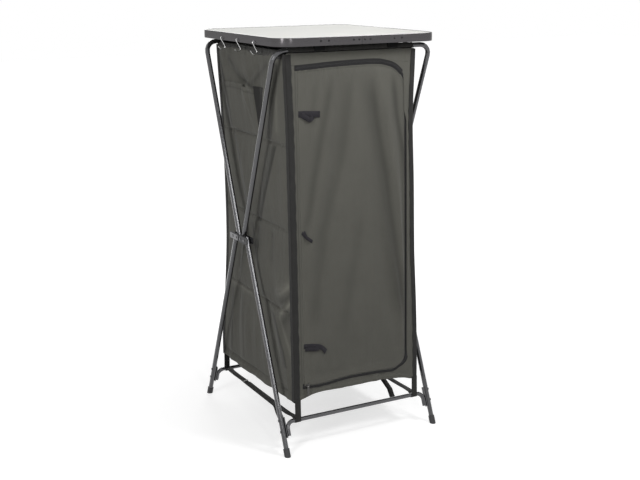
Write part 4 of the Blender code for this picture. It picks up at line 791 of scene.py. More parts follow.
def front_detail(x, z):
    """How far the front cloth stands out of its plane, for the door and for what surrounds it."""
    left, right, below = lean(DOOR_LEFT, z), lean(DOOR_RIGHT - ZIP_HALF, z), ZIP_TOP - ZIP_HALF - z
    inside = ease((x - left) / 0.012) * ease((right + 0.003 - x) / 0.008)
    inside = inside * ease((z - ZIP_BOTTOM - ZIP_HALF) / 0.045) * ease(below / 0.025)
    folds = sample(DOOR_RELIEF, DOOR_LOW, DOOR_STEP, x, z)
    folds = folds + 0.0009 * waves(x, z, 71, 0.11, 0.9) + 0.0003 * waves(x, z, 72, 0.035, 0.5)
    ripples = 0.0008 * waves(x, z, 73, 0.024, 1.5) * (1 - np.clip(below / 0.10, 0, 1)) ** 1.5
    ripples = ripples * ease(below / 0.006) * ease((0.10 - x) / 0.15) * ease((x - left) / 0.01)
    return inside * folds + ripples


def door_surface(x, z):
    return face_y("front", z) - front_detail(x, z) - 0.0006


# How far the zip's top and bottom runs lie above their straight lines: (x, height) in mm
ZIP_TOP_LIFT = (
    (-215, -4.4), (-160, -2.0), (-110, 1.0), (-58, 3.0), (-16, 4.0), (30, 4.8), (66, 4.2), (86, 2.6), (100, -0.4),
    (113, -3.4), (135, -5.7), (151, -8.0), (174, -11.0), (190, -11.0),
)
ZIP_LOW_LIFT = (
    (-205, -2.5), (-192, -3.0), (-165, -4.2), (-138, -5.2), (-110, -4.2), (-84, -1.5), (-56, 1.2), (-29, 2.6),
    (27, 2.0), (84, 0.0), (115, -2.6), (133, -3.6), (146, -1.0), (160, 4.0), (172, 2.0), (186, -2.0),
)


def settle(x, y, z):
    """Points of the front: the zip's runs aren't quite straight, and the cloth round them goes along."""
    top, low = (np.interp(x, *np.transpose(lift) / 1000) for lift in (ZIP_TOP_LIFT, ZIP_LOW_LIFT))
    hem = hem_height(x)
    top_share = np.where(z < ZIP_TOP, ease((z - 1.09) / (ZIP_TOP - 1.09)),
                         np.clip((WALL_TOP - z) / (WALL_TOP - ZIP_TOP), 0, 1))
    low_share = np.where(z > ZIP_BOTTOM, ease((0.31 - z) / (0.31 - ZIP_BOTTOM)),
                         np.clip((z - hem) / (ZIP_BOTTOM - hem), 0, 1))
    return np.stack([x, y, z + top * top_share + low * low_share], -1)


def door_side(grow, steps=14):
    """Right side of the outline round the door, from bottom to top."""
    right, top, bottom = DOOR_RIGHT + grow, ZIP_TOP + grow, ZIP_BOTTOM - grow
    low, high = ZIP_BOTTOM_RADIUS + grow, ZIP_TOP_RADIUS + grow
    points = []
    for radius, centre, start in ((low, bottom + low, -90), (high, top - high, 0)):
        for angle in np.radians(start + 90 * np.arange(steps + 1) / steps):
            z = centre + radius * math.sin(angle)
            points.append((lean(right - radius + radius * math.cos(angle), z), z))
    return np.array(points)


def zip_line(x, z, grow):
    """A fine line beside the zip's top run and its corner, 1 on the line."""
    side = door_side(grow, 24)[25:]
    line = [*side, (DOOR_LEFT, side[-1, 1])]
    nearest = np.min([np.hypot(*from_segment(x, z, start, end)[1:]) for start, end in zip(line, line[1:])], axis=0)
    return np.exp(-(nearest / 0.0014) ** 2)


def door():
    """The door's cloth inside the zip, from the hinge seam to the zip."""
    side = door_side(-ZIP_HALF - 0.0006)
    top, bottom = side[-1, 1], side[0, 1]
    heights = np.concatenate([np.linspace(bottom, top - 0.045, 204), np.linspace(top - 0.045, top, 47)[1:]])
    edge = np.interp(heights, side[:, 1], side[:, 0])[:, None]
    left = lean(DOOR_LEFT + 0.0008, heights)[:, None]
    x = left + (edge - left) * np.linspace(0, 1, 120)[None, :]
    z = np.repeat(heights[:, None], 120, 1)
    low = ease((bottom + 0.030 - z) / 0.030)
    z = z - 0.0058 * low
    out = front_detail(x, z) + 0.0006 + 0.0022 * low
    # Painted shade in the door's folds, and a thin darker line beside the zip's top run
    shade = np.maximum(door_painted_shade(x, out, z), 0.30 * zip_line(x, z, -ZIP_HALF - 0.0080))
    obj = cloth_piece("cloth_door", settle(x, face_y("front", z) - out, z), (x, z), shade=shade)
    fold_door(obj, "door")


def lap_share(points):
    """How far the surround's cloth laps over the zip: at the right side and round its top corner."""
    x, z = points[:, 0], points[:, 1]
    return ease((x - 0.06) / 0.03) * (1 - ease((z - 1.153) / 0.060)) * ease((z - 0.232) / 0.035)


STRIP_FOLD = (
    (0.186, 1.06, 0.0004), (0.1885, 0.9, 0.002), (0.1895, 0.692, 0.002), (0.193, 0.48, 0.0016),
    (0.195, 0.33, 0.0004),
)


def surround():
    """The front wall's cloth round the door, which laps over the zip at the right."""
    side = door_side(ZIP_HALF + 0.0014)
    middle, upper = len(side) // 4, 3 * len(side) // 4
    low, high = ((lean(DOOR_LEFT + 0.0012, z), z) for z in (side[0, 1], side[-1, 1]))
    zs = np.linspace(FRONT_HEM[0][1], WALL_TOP, 60)
    left_edge, right_edge = (np.stack([corner_x(name, "front", zs), zs], -1) for name in SIDE)
    hem_x = np.linspace(left_edge[0, 0], right_edge[0, 0], 60)
    runs = {
        "bottom": (90, (0.454, 0.0277), [low, *side[:middle + 1]], np.stack([hem_x, hem_height(hem_x)], -1)),
        "right": (220, (0.0350, 1.0925), side[middle:upper + 1], right_edge),
        "top": (90, (0.4385, 0.0306), [*side[upper:], high], [right_edge[-1], left_edge[-1]]),
        "left": (220, (0.0217, 1.0925), [high, low], left_edge[::-1]),
    }
    for name, (count, flat, inner, outer) in runs.items():
        inner, outer = resample(inner, count), resample(outer, count)
        inner[:, 1] += 0.0022 * ease((ZIP_BOTTOM + 0.006 - inner[:, 1]) / 0.006)
        lap = lap_share(inner)
        inward = np.stack([np.clip(inner[:, 0], -0.1, 0.10), np.clip(inner[:, 1], 0.26, 1.14)], -1) - inner
        inward /= np.maximum(np.linalg.norm(inward, axis=1, keepdims=True), 1e-6)
        lapped = inner + inward * (lap * (0.0066 + 0.0098 * ease((inner[:, 1] - 1.02) / 0.05)))[:, None]
        t = np.linspace(0, 1, 26)[:, None, None]
        place = lapped[None] * (1 - t) + outer[None] * t
        x, z = place[..., 0], place[..., 1]
        near_zip = np.linalg.norm(place - lapped[None], axis=-1)
        out = front_detail(x, z) * 0.4 + lap[None] * 0.0013 * np.exp(-(near_zip / 0.020) ** 2) + 0.0002
        strip = ease((x - 0.186) / 0.006) * ease((1.2 - z) / 0.1) * ease((z - 0.2) / 0.1)
        out = out + strip * 0.0022 * crease(x, z, STRIP_FOLD, 0.0045) / 0.002
        out = np.where(x > 0, out * ease((corner_x("right", "front", z) - 0.0205 - x) / 0.005), out)
        out = out + ease((0.215 - z) / 0.03) * 0.0012 * waves(x, z, 82, 0.05, 0.3)
        out = out + 0.0009 * ease((0.0125 - z + hem_height(x)) / 0.001) * (z < 0.2)
        # Painted shade: a thin dark line along the hinge seam, on the left strip beside the door
        seam = 0.36 * np.exp(-((x - lean(DOOR_LEFT - 0.0066, z)) / 0.0013) ** 2) if name == "left" else None
        places = settle(x, face_y("front", z) - out, z)
        obj = cloth_piece(f"cloth_surround_{name}", places, (x, z), thickness=0.0, shade=seam)
        fold_body(obj, "front_surround")


def swept(name, centre, wide, out, profile, mat):
    """A closed band or wire along a path. Its profile's points are (across, out), along the two directions."""
    centre, profile = np.asarray(centre, float), np.asarray(profile, float)
    wide, out = (np.broadcast_to(np.asarray(way, float), centre.shape)[:, None] for way in (wide, out))
    places = centre[:, None] + wide * profile[None, :, :1] + out * profile[None, :, 1:]
    uv = np.broadcast_arrays(run_length(profile)[None], run_length(centre)[:, None])
    return mesh_piece(name, places, tube_faces(*places.shape[:2]), mat, np.stack(uv, -1), sharp=50)


def band_profile(half, thickness):
    """A flat band's closed section with rounded edges, outside up."""
    r = thickness * 0.35
    left = [(-half + r, 0), (-half, r), (-half, thickness - r), (-half + r, thickness)]
    return left + [(-across, out) for across, out in left[::-1]]


# A zip tape's section from its edge to the middle, and a tooth's corners: (across, along, out)
TAPE_HALF = ZIP_HALF + 0.0022
TAPE_SECTION = ((-TAPE_HALF, 0.0), (-TAPE_HALF, 0.0010), (-0.0030, 0.0012), (-0.0024, 0.0020), (-0.0006, 0.0021))
TOOTH = ((-0.0005, -0.0006, 0), (0.0020, -0.0007, 0), (0.0020, 0.0007, 0), (-0.0005, 0.0006, 0),
         (-0.0003, -0.0004, 0.0007), (0.0018, -0.0004, 0.0006), (0.0018, 0.0004, 0.0006), (-0.0003, 0.0004, 0.0007))
TOOTH_FACES = [(0, 1, 5, 4), (1, 2, 6, 5), (2, 3, 7, 6), (3, 0, 4, 7), (4, 5, 6, 7)]
TOOTH_PITCH = 0.0021


def zip_band():
    """Both zip tapes with their teeth, round two corners."""
    side = door_side(0.0, 20)
    path = resample([(lean(DOOR_LEFT - 0.004, ZIP_BOTTOM), ZIP_BOTTOM), *side,
                     (lean(DOOR_LEFT - 0.007, ZIP_TOP), ZIP_TOP)], 420)
    across, up = unit(np.gradient(path, axis=0)).T
    centre = settle(path[:, 0], face_y("front", path[:, 1]) + 0.0032 * lap_share(path) + 0.0002 - 0.0006, path[:, 1])
    wide, ahead = np.stack([up, -across * FACE_SLOPE, -across], -1), np.stack([across, up * FACE_SLOPE, up], -1)
    out = np.array([0.0, -1.0, -FACE_SLOPE])
    profile = [*TAPE_SECTION, (0.0, 0.0015), *((-a, b) for a, b in TAPE_SECTION[::-1])]
    fold_body(swept("zip_tape", centre, wide, out, profile, ZIP_TAPE), "zip", slot="black_webbing")
    run = run_length(path)
    count = int(run[-1] / TOOTH_PITCH)
    teeth = []
    for k in range(count):
        at = (k + 0.5) / count * run[-1]
        i = min(int(np.searchsorted(run, at)), len(path) - 1)
        ways = np.array([wide[i] * (1 if k % 2 else -1), ahead[i], out])
        teeth.append((along(centre, run, at) + out * 0.0017 + np.array(TOOTH) @ ways, TOOTH_FACES))
    fold_body(mesh_piece("zip_coil", *join(teeth), TEETH, smooth=False), slot="black_webbing")


# A stitch's lift and radius along its length, and where
STITCH = ((0.0, -0.2, 0.5), (0.25, 0.7, 1.0), (0.75, 0.7, 1.0), (1.0, -0.2, 0.5))
THREAD_RADIUS = 0.00030


def stitches(name, path, out, mat, pitch=0.0042, length=0.0028):
    """A row of sewn stitches: short rounded threads along a path of 3-D points, standing out a little."""
    path, out = np.asarray(path, float), np.asarray(out, float)
    run = run_length(path)
    count = max(int(run[-1] / pitch), 1)
    shares, lifts, radii = np.transpose(STITCH)[:, :, None]
    angles = 2 * math.pi * np.arange(5)[:, None] / 5
    parts = []
    for k in range(count):
        spots = along(path, run, (k + 0.5) * run[-1] / count - length / 2 + length * shares[:, 0])
        ring = np.cross(unit(spots[3] - spots[0]), out) * np.cos(angles) + out * np.sin(angles)
        raised = spots + out * THREAD_RADIUS * lifts
        points = raised[:, None] + ring[None] * THREAD_RADIUS * radii[:, :, None]
        parts.append((points.reshape(-1, 3), grid_faces(4, 5, wrap=True)))
    return mesh_piece(name, *join(parts), mat)


def binding(side, face):
    """Folded tape over an upright corner, with its two stitch rows."""
    edge, sign, r = SIDE[side], FACE[face], BINDING_BEND
    z = np.linspace(CLOTH_HEM - 0.0006, WALL_TOP + 0.001, 220)
    x, y = corner_x(side, face, z), face_y(face, z)
    wiggle = 0.0006 * waves(z, z * 0, 90 + edge + 2 * sign, 0.05, 1.0)
    front, raised = BINDING_FRONT[side] + wiggle, BINDING_GAP + BINDING_THICKNESS

    def layer(lift):
        """One side of the tape round the corner: (x, y) from the corner."""
        level = BINDING_GAP + lift
        points = [(-edge * a, sign * level) for a in (front, front * 0.55, r)]
        for angle in (math.pi / 2 * k / 5 for k in range(1, 5)):
            across, out = math.sin(angle), math.cos(angle)
            points.append((edge * ((r + lift) * across - r + BINDING_GAP * across),
                           sign * ((r + lift) * out - r + BINDING_GAP)))
        return points + [(edge * level, -sign * (a + wiggle)) for a in (r, BINDING_SIDE * 0.55, BINDING_SIDE)]

    ring = layer(BINDING_THICKNESS) + layer(0.0)[::-1]
    places = np.stack([np.stack([x + dx, y + dy, z], -1) for dx, dy in ring], 1)
    if edge * sign < 0:
        places = places[:, ::-1]
    uv = np.stack(np.broadcast_arrays(np.linspace(0, 0.075, len(ring))[None], z[:, None]), -1)
    obj = mesh_piece(f"tape_{face}_{side}", places, tube_faces(len(z), len(ring)), WEBBING, uv, sharp=50)
    fold_body(obj, f"binding_{face}_{side}", slot="black_webbing")
    for row, dx, dy, out in (("a", -edge * (front - 0.002), sign * raised, (0, sign, 0)),
                             ("b", edge * raised, -sign * (BINDING_SIDE - 0.002), (edge, 0, 0))):
        seam = stitches(f"stitch_{face}_{side}_{row}", np.stack([x + dx, y + dy, z], -1), out, BLACK_THREAD)
        fold_body(seam, slot="black_webbing")


def top_band(face):
    """The sleeve round the cross tube, and the strip below it that is sewn on at the zip."""
    sign, front, radius = FACE[face], face == "front", TUBE_RADIUS + 0.0013
    x = np.linspace(-0.218, 0.218, 150) - (0.013 if front else 0.0)
    xs, angle = np.meshgrid(x[::-1] if front else x, np.radians(np.linspace(-40, 285, 25)))
    across, up = np.cos(angle), np.sin(angle)
    reach = radius + 0.0005 * waves(xs, (CROSS_TUBE_Z + radius * up) * 0.3, 101 + sign, 0.018, 0.08)
    places = np.stack([xs, sign * (CROSS_TUBE_Y + reach * across), CROSS_TUBE_Z + reach * up], -1)
    uv = (xs, radius * (angle - angle[0]))
    sleeve = cloth_piece(f"sleeve_{face}", places, uv, THIN_CLOTH, BLACK_CLOTH, offset=1.0)
    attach(sleeve, f"upper_{face}_frame")
    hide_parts(f"top_band_{face}")
    apply_modifiers(sleeve)
    bottom = ZIP_TOP + ZIP_HALF + 0.0008 if front else 1.227
    x = np.linspace(corner_x("left", face, 1.24) + 0.004, corner_x("right", face, 1.24) - 0.004, 150)
    xs, z = np.meshgrid(x if front else x[::-1], np.linspace(bottom, CROSS_TUBE_Z - 0.0080, 24))
    out = 0.0009 + 0.00025 * waves(xs, z, 111, 0.03, 0.2) - 0.0006 * ease((xs - 0.10) / 0.04)
    y = sign * (np.abs(face_y(face, z)) + out - 0.0022 * ease((z - 1.246) / 0.010))
    places = settle(xs, y, z) if front else np.stack([xs, y, z], -1)
    band = cloth_piece(f"band_{face}", places, (xs, z), 0.0007)
    fold_body(band)


def pillow(name, box, mat, seed, edge=14):
    """A flat board or its sleeve, with soft edges, that fills a box."""
    centre, half, count = box.mean(axis=0), (box[1] - box[0]) / 2, 44
    u, v = np.meshgrid(np.linspace(-1, 1, count), np.linspace(-1, 1, count))
    swell = (1 - np.maximum(np.abs(u), np.abs(v)) ** edge) ** 0.5 * (0.93 + 0.07 * waves(u, v, seed, 0.5, 0.5))
    points = np.concatenate([(centre + half * np.stack([u, v, sign * swell], -1)).reshape(-1, 3) for sign in (1, -1)])
    faces = grid_faces(count, count)
    faces += [tuple(index + count * count for index in face[::-1]) for face in faces]
    obj = mesh_piece(name, points, faces, mat, points[:, :2])
    form = bmesh.new()
    form.from_mesh(obj.data)
    bmesh.ops.remove_doubles(form, verts=form.verts, dist=0.00005)
    form.to_mesh(obj.data)
    form.free()
    return obj


def shelves():
    """The floor and the three shelves: a cloth sleeve with its seam, and the board in it."""
    for index, shelf in enumerate(("floor", "shelf_1", "shelf_2", "shelf_3")):
        cover, board = f"{shelf}_cover", f"{shelf}_board"
        low, high = box = np.array(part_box(cover))
        fold_body(pillow(f"cloth_{cover}", box, FRONT_CLOTH, 130 + index), cover)
        core = pillow(f"stiff_{board}", np.array(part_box(board)), SHELF_BOARD, 140 + index, edge=60)
        fold_body(core, board, slot="shelf_board")
        line = [(x, low[1] + 0.014, high[2]) for x in (low[0] + 0.012, high[0] - 0.012)]
        fold_body(stitches(f"stitch_{cover}", resample(line, 60), UP, THREAD))


def roof():
    low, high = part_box("roof_panel")
    x, y = np.meshgrid(np.linspace(low[0], high[0], 60), np.linspace(low[1], high[1], 60))
    u, v = np.meshgrid(np.linspace(-1, 1, 60), np.linspace(-1, 1, 60))
    ripples = 0.0006 * waves(x, y, 121, 0.12, 0.12) * (1 - u ** 4) * (1 - v ** 4)
    sag = 0.0045 * (1 - u ** 2) * (1 - v ** 2) + ripples
    obj = cloth_piece("cloth_roof", np.stack([x, y, high[2] - sag], -1), (x, y), 0.0012, BLACK_CLOTH)
    fold_body(obj, "roof_panel")


def top_strip(side):
    """The black gathered strip along the top of a side wall."""
    sign, half = SIDE[side], 0.243
    y, share = np.meshgrid(np.linspace(-half, half, 180) * sign, np.linspace(0, 1, 16))
    top = 1.2510 + 0.0105 * ease((half - np.abs(y)) / 0.018)
    bottom = 1.2425 + 0.026 * y + 0.0010 * waves(y, y * 0, 151 + sign, 0.09, 1.0)
    z = bottom + (top - bottom) * share
    gathers = waves(y, z, 161 + sign, 0.016, 0.022, 14)
    out = 0.0042 + 0.0016 * gathers * np.sin(math.pi * np.clip(share, 0.03, 1) * 0.9)
    out = out + 0.0012 * np.sin(math.pi * share)
    x = wall_base(side, y, z, wall_reach(WALL_TOP)) + sign * out
    # Darker along the hem at the strip's foot, and painted shade in the hollows between its gathers
    hem = np.exp(-(share / 0.10) ** 2) * (0.7 + 0.3 * waves(y, z, 165 + sign, 0.012, 0.5))
    shade = hem + 0.45 * np.clip(-gathers, 0, 1)
    obj = cloth_piece(f"top_strip_{side}", np.stack([x, y, z], -1), (y, z), THIN_CLOTH, STRIP_CLOTH, shade)
    fold_body(obj)


def pocket():
    """Side pocket: a sewn-on panel with a doubled mouth, and at its front end a gusset of black cloth with painted
    shade, put where the pocket's open end lies in shade.
    """
    u, v = np.meshgrid(np.linspace(0, 1, 120), np.linspace(0, 1, 80))
    front, back = POCKET_FRONT + 0.005 * v ** 1.3, POCKET_BACK - 0.004 * v
    y = back + (front - back) * u
    mouth = 0.006 * np.sin(math.pi * np.clip(u / 0.8, 0, 1)) - 0.002 * u ** 5
    z = POCKET_LOW + (POCKET_HIGH - POCKET_LOW) * v + mouth * v
    loose = 0.0020 + 0.0070 * np.sin(math.pi * np.clip(u, 0, 1) ** 1.8) ** 1.2 * v ** 1.4
    loose = loose + 0.0006 * waves(y, z, 171, 0.06, 0.3) * v * (1 - u ** 8) + 0.0060 * ease((u - 0.80) / 0.16) * v
    loose = loose + crease(u, v, ((0.72, 1.0, 0.006), (0.93, 0.05, 0.001)), 0.05)
    seamed = ease(v / 0.08) * ease(u / 0.05) * (ease((1 - u) / 0.02) * 0.6 + 0.4)
    out = 0.0011 + seamed * loose + 0.0009 * ease((v - 0.90) / 0.012)
    x = wall_x("left", y, z) - out
    # Painted shade: a dark line below the mouth's doubled hem, and the left wall's painted shading carried onto the
    # pocket
    shade_below_hem = 0.45 * np.exp(-((v - 0.895) / 0.012) ** 2)
    shade = np.maximum(shade_below_hem, 0.7 * left_painted_shading(x, y, np.minimum(z, 1.13)))
    places = np.stack([x, y, z], -1)
    obj = cloth_piece("cloth_pocket", places, (y, z), THIN_CLOTH, shade=shade)
    fold_body(obj, "side_pocket")
    fold_body(stitches("stitch_pocket", places[72] - (0.0001, 0, 0), (-1, 0, 0), THREAD))
    u, v = np.meshgrid(np.linspace(0, 1, 14), np.linspace(0, 1, 60))
    z = 1.000 + 0.1405 * v
    start = POCKET_FRONT + 0.006 * np.clip((z - POCKET_LOW) / 0.1545, 0, 1) ** 1.3
    y = start + 0.002 + (-0.060 - 0.052 * v ** 1.1 - start) * u
    x = wall_x("left", y, z) - (0.0010 + (1 - u) * (0.0006 + 0.004 * v))
    # Black cloth with an even painted shade, standing in for the shade inside the pocket's open front end
    obj = cloth_piece("cloth_pocket_shade_gusset", np.stack([x, y, z], -1), (y, z), 0.0007, BLACK_CLOTH, 0.45 + 0 * y)
    fold_body(obj)


# The door's ties: name, place, then (x, z, mm out) along the flat end and along the loop, and the width
TIES = (
    ("tie_upper", (-0.2025, 1.0728), ((0, 0, 0.3), (0.024, -0.0005, 2.2), (0.05, -0.002, 3.0),
     (0.072, -0.0035, 2.0)), ((0.01, -0.003, 2.6), (0.024, -0.011, 4.2), (0.037, -0.0175, 5.0),
     (0.049, -0.009, 4.0)), 0.0195),
    ("tie_middle", (-0.1953, 0.7085), ((0, 0, 0.3), (0.006, -0.007, 2.4), (0.016, -0.018, 3.8),
     (0.032, -0.03, 3.0)), ((0.007, 0.003, 2.2), (0.01, -0.006, 3.6), (0.014, -0.014, 3.4)), 0.01),
    ("tie_lower", (-0.1935, 0.34), ((0, 0, 1.0), (0.022, -0.001, 2.0), (0.046, -0.004, 3.0), (0.062, -0.012, 3.8),
     (0.075, -0.027, 3.6)), ((0.004, -0.009, 2.6), (0.02, -0.0105, 4.0), (0.036, -0.0115, 4.6),
     (0.048, -0.0105, 4.2)), 0.016),
)
TAPE_THICKNESS = 0.0012


def ties():
    for name, (x0, z0), flat, loop, width in TIES:
        for part, line, half in (("", flat, width / 2), ("_loop", loop, width * 0.4)):
            line = resample(smooth_line(line), 60)
            x, z = x0 + line[:, 0], z0 + line[:, 1]
            centre = np.stack([x, door_surface(x, z) - line[:, 2] / 1000, z], -1)
            ahead = np.gradient(centre, axis=0)
            wide = unit(unit(np.stack([-ahead[:, 2], 0 * x, ahead[:, 0]], -1)) * 0.6 + (0, 0, 0.4))
            centre = resample(centre, 60)
            out = unit(np.cross(wide, np.gradient(centre, axis=0)))
            band = band_profile(half, TAPE_THICKNESS)
            tie = swept(f"webbing_{name}{part}", centre, wide, out, band, TIE_WEBBING)
            fold_door(tie, name, slot="black_webbing")
        z = np.linspace(z0 - width * 0.36, z0 + width * 0.36, 12)
        for offset in (22, 72):
            x = np.full(12, x0 + offset / 10000)
            row = np.stack([x, door_surface(x, z) - 0.0030, z], -1)
            bar = stitches(f"stitch_{name}_{offset}", row, FORWARD, BLACK_THREAD, 0.0030, 0.0022)
            fold_door(bar, slot="black_webbing")


# The straps' level beside the rails, their far ends as (y, z), and their x at the hem and beside the rails
STRAP_LEVEL = 0.1045
STRAP_TAILS = {
    "left": ((-0.128, 0.1), (-0.137, 0.096), (-0.15, 0.081), (-0.172, 0.064)),
    "right": ((-0.045, 0.1), (-0.06, 0.094), (-0.118, 0.067), (-0.138, 0.041)),
}
STRAP_X = {"left": (-0.2185, -0.2255), "right": (0.2215, 0.2240)}


def strap(face, side):
    """Webbing from the hem's corner, round the bottom rail and along the side to its fastening."""
    sign, radius = FACE[face], RAIL_RADIUS + 0.0013
    path = [(abs(float(face_y(face, z))) + 0.0029, z) for z in (0.166, 0.152)]
    path += [(RAIL_Y + radius * math.cos(angle), RAIL_HEIGHT + radius * math.sin(angle))
             for angle in np.radians(np.linspace(20, -195, 17))]
    path += [(RAIL_Y - 0.018, STRAP_LEVEL), (0.5 * RAIL_Y + 0.045, STRAP_LEVEL - 0.0012)]
    path = [(sign * y, z) for y, z in path]
    if face == "front":
        path += [(0.030, STRAP_LEVEL - 0.0010), (0.090, STRAP_LEVEL)]
    else:
        path += [(y, STRAP_LEVEL - drop) for y, drop in ((0.120, 0.0002), (0.098, 0.0016), (0.020, 0.0026))]
        path += STRAP_TAILS[side]
    y, z = resample(path, 260).T
    top_x, run_x = STRAP_X[side]
    x = top_x + (run_x - top_x) * ease((np.abs(y - sign * RAIL_Y) - 0.004) / 0.05) * (z < 0.115)
    centre = np.stack([x, y, z], -1)
    ahead = np.gradient(centre, axis=0)
    out = unit(np.stack([0 * x, -ahead[:, 2], ahead[:, 1]], -1))
    band = band_profile(0.0105, TAPE_THICKNESS)
    ride_frame(swept(f"webbing_{face}_{side}", centre, (1, 0, 0), out, band, WEBBING), face, f"strap_{face}_{side}")
    for row, offset in (("a", -0.0082), ("b", 0.0082)):
        ride_frame(stitches(f"stitch_strap_{face}_{side}_{row}", centre[:12] + (offset, sign * 0.0013, 0),
                            (0, sign, 0), BLACK_THREAD, 0.0030, 0.0022), face)


def fastening_edge():
    """The pale selvedge where the left side's straps meet."""
    line = [(STRAP_X["left"][1] + 0.0106 * s, 0.1060 + 0.0035 * s, STRAP_LEVEL + 0.0004) for s in (-1, -0.3, 0.3, 1)]
    ride_frame(swept("fastening_edge", line, (0, 1, 0), UP, band_profile(0.0024, 0.0014), SELVEDGE), "back")


def door_stitching():
    """Stitch rows beside the zip on the door, and beside the door's hinge seam."""
    for name, inset in (("stitch_door_inner", 0.0055), ("stitch_door_edge", 0.0015)):
        side = door_side(-ZIP_HALF - inset, 16)
        bottom, top = ((lean(DOOR_LEFT, z) + 0.004, z) for z in (side[0, 1], side[-1, 1]))
        x, z = resample([bottom, *side, top], 500).T
        fold_door(stitches(name, settle(x, door_surface(x, z) - 0.0001, z), FORWARD, THREAD))
    z = np.linspace(ZIP_BOTTOM + 0.012, ZIP_TOP - 0.014, 300)
    x = lean(DOOR_LEFT - 0.0060, z)
    y = face_y("front", z) - front_detail(x, z) * 0.4 - 0.0004
    fold_body(stitches("stitch_hinge", settle(x, y, z), FORWARD, THREAD))


def rim_outline(inset, steps=18):
    """Points round the table, counter-clockwise from above, at a distance from its edge."""
    half_x, half_y, radius = TOP_WIDTH / 2 - inset, TOP_DEPTH / 2 - inset, CORNER_RADIUS - inset
    points = []
    for cx, cy, start in ((1, -1, -90), (1, 1, 0), (-1, 1, 90), (-1, -1, 180)):
        for angle in np.radians(start + 90 * np.arange(steps + 1) / steps):
            points.append((cx * (half_x - radius) + radius * math.cos(angle),
                           cy * (half_y - radius) + radius * math.sin(angle)))
    return np.array(points)


# The rim's section as (distance from the table's edge, height above or below its top or foot)
RIM_FOOT = ((0.0009, 0.0), (0.0004, 0.0003), (0.0003, 0.0010))
RIM_HEAD = ((0.0003, -0.0016), (0.0004, -0.0002), (0.0009, 0.0006), (0.0016, 0.0009), (RIM_LIP - 0.0006, 0.0008),
            (RIM_LIP, 0.0003), (RIM_LIP, -0.0008), (RIM_WALL, -0.0009), (RIM_WALL, -RIM_HEIGHT))


def rim():
    """The extruded edge: a very slightly rounded wall, rounded upper edge and a thin lip on the board."""
    low = HEIGHT - RIM_HEIGHT
    section = [(inset, low + z) for inset, z in RIM_FOOT]
    section += [(0.0003 * (k / 6 - 1) ** 2, low + 0.0010 + (RIM_HEIGHT - 0.0026) * k / 12) for k in range(1, 12)]
    section += [(inset, HEIGHT + z) for inset, z in RIM_HEAD]
    rings = [np.insert(rim_outline(inset), 2, z, axis=1) for inset, z in section]
    places = np.stack(rings, 1)
    rows, columns = places.shape[:2]
    last = (rows - 1) * columns
    faces = grid_faces(rows, columns, wrap=True)
    faces += [(last + j, last + (j + 1) % columns, (j + 1) % columns, j) for j in range(columns)]
    ride_top(mesh_piece("rim_extrusion", places, faces, RIM_METAL, sharp=32), "table_rim")


RIVET_PLACES = (-0.1410, -0.1145, -0.029, -0.010, 0.010, 0.029, 0.1145, 0.1410)
# A rivet head's section: (radius, distance out)
RIVET_SECTION = ((0.0034, 0.0), (0.0034, 0.00025), (0.0030, 0.0005), (0.0027, 0.0009), (0.0020, 0.0013),
                 (0.0012, 0.0014), (0.0011, 0.0008), (0.0004, 0.0007))


def rivets(sides=16):
    """Eight blind rivets along the front of the rim, and the joint between its ends."""
    y = -TOP_DEPTH / 2
    axis = Vector(FORWARD)
    across = axis.orthogonal().normalized()
    ways = np.array([across, axis.cross(across), axis])
    angles = 2 * math.pi * np.arange(sides) / sides
    head = np.array([(radius * math.cos(angle), radius * math.sin(angle), out)
                     for radius, out in RIVET_SECTION for angle in angles]) @ ways
    faces = grid_faces(len(RIVET_SECTION), sides, wrap=True)
    faces.append(tuple(range(len(head) - sides, len(head))))
    for index, x in enumerate(RIVET_PLACES):
        points = head + (x, y + 0.0001, HEIGHT - 0.0105)
        ride_top(mesh_piece(f"rivet_{index}", points, faces, RIVET_METAL, sharp=40))
    line = [(0, y - 0.00015, HEIGHT - RIM_HEIGHT + 0.0004), (0, y - 0.00015, HEIGHT - 0.0010)]
    ride_top(swept("rim_joint", resample(line, 12), (1, 0, 0), FORWARD, band_profile(0.0003, 0.0002), RIVET_METAL))


# Each hook: its body, its y on the rim, its turn in degrees, and its centre line from the rim, (x, z) in mm
HOOKS = (("hook_back", 0.107, 6), ("hook_middle", -0.0127, 15), ("hook_front", -0.1334, 20))
HOOK_LINES = (
    ((3, 0.4), (-1.5, 0), (-4.6, -1.6), (-5.0, -4.6), (-2.0, -10.0), (3.0, -18.0), (8.0, -26.0), (9.4, -30.0),
     (8.2, -34.4), (4.0, -37.8), (-2.0, -38.6), (-8.0, -35.6), (-13.6, -30.2)),
    ((3, 0.4), (-1.5, 0), (-4.8, -1.8), (-5.4, -4.8), (-2.2, -10.0), (3.2, -18.4), (8.6, -26.8), (10.4, -30.8),
     (9.6, -34.8), (5.4, -38.2), (-0.6, -39.0), (-6.4, -37.0), (-11.0, -33.6)),
    ((3, 0.4), (-1.5, 0), (-5.2, -2.0), (-6.0, -5.4), (-2.6, -11.0), (2.6, -19.4), (8.0, -28.0), (9.8, -31.6),
     (9.0, -35.0), (4.6, -38.8), (-0.4, -41.0), (-4.0, -39.4), (-14.6, -29.6)),
)
HOOK_HEIGHT, WIRE_RADIUS = 1.2854, 0.00135


def hooks():
    for index, ((body, y, turn), line) in enumerate(zip(HOOKS, HOOK_LINES), 1):
        x, z = resample(smooth_line(np.array(line) / 1000), 90).T
        slope = math.tan(math.radians(turn))
        centre = np.stack([-TOP_WIDTH / 2 + x, y + x * slope, HOOK_HEIGHT + z], -1)
        side = np.array([-slope, 1.0, 0.0]) / math.hypot(1, slope)
        out = unit(np.cross(np.gradient(centre, axis=0), side))
        ring = [(WIRE_RADIUS * math.cos(angle), WIRE_RADIUS * math.sin(angle))
                for angle in 2 * math.pi * np.arange(12) / 12]
        wire = swept(f"hook_wire_{index}", centre, side, out, ring, WIRE_METAL)
        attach(wire, body)
        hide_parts(f"hook_{index}")


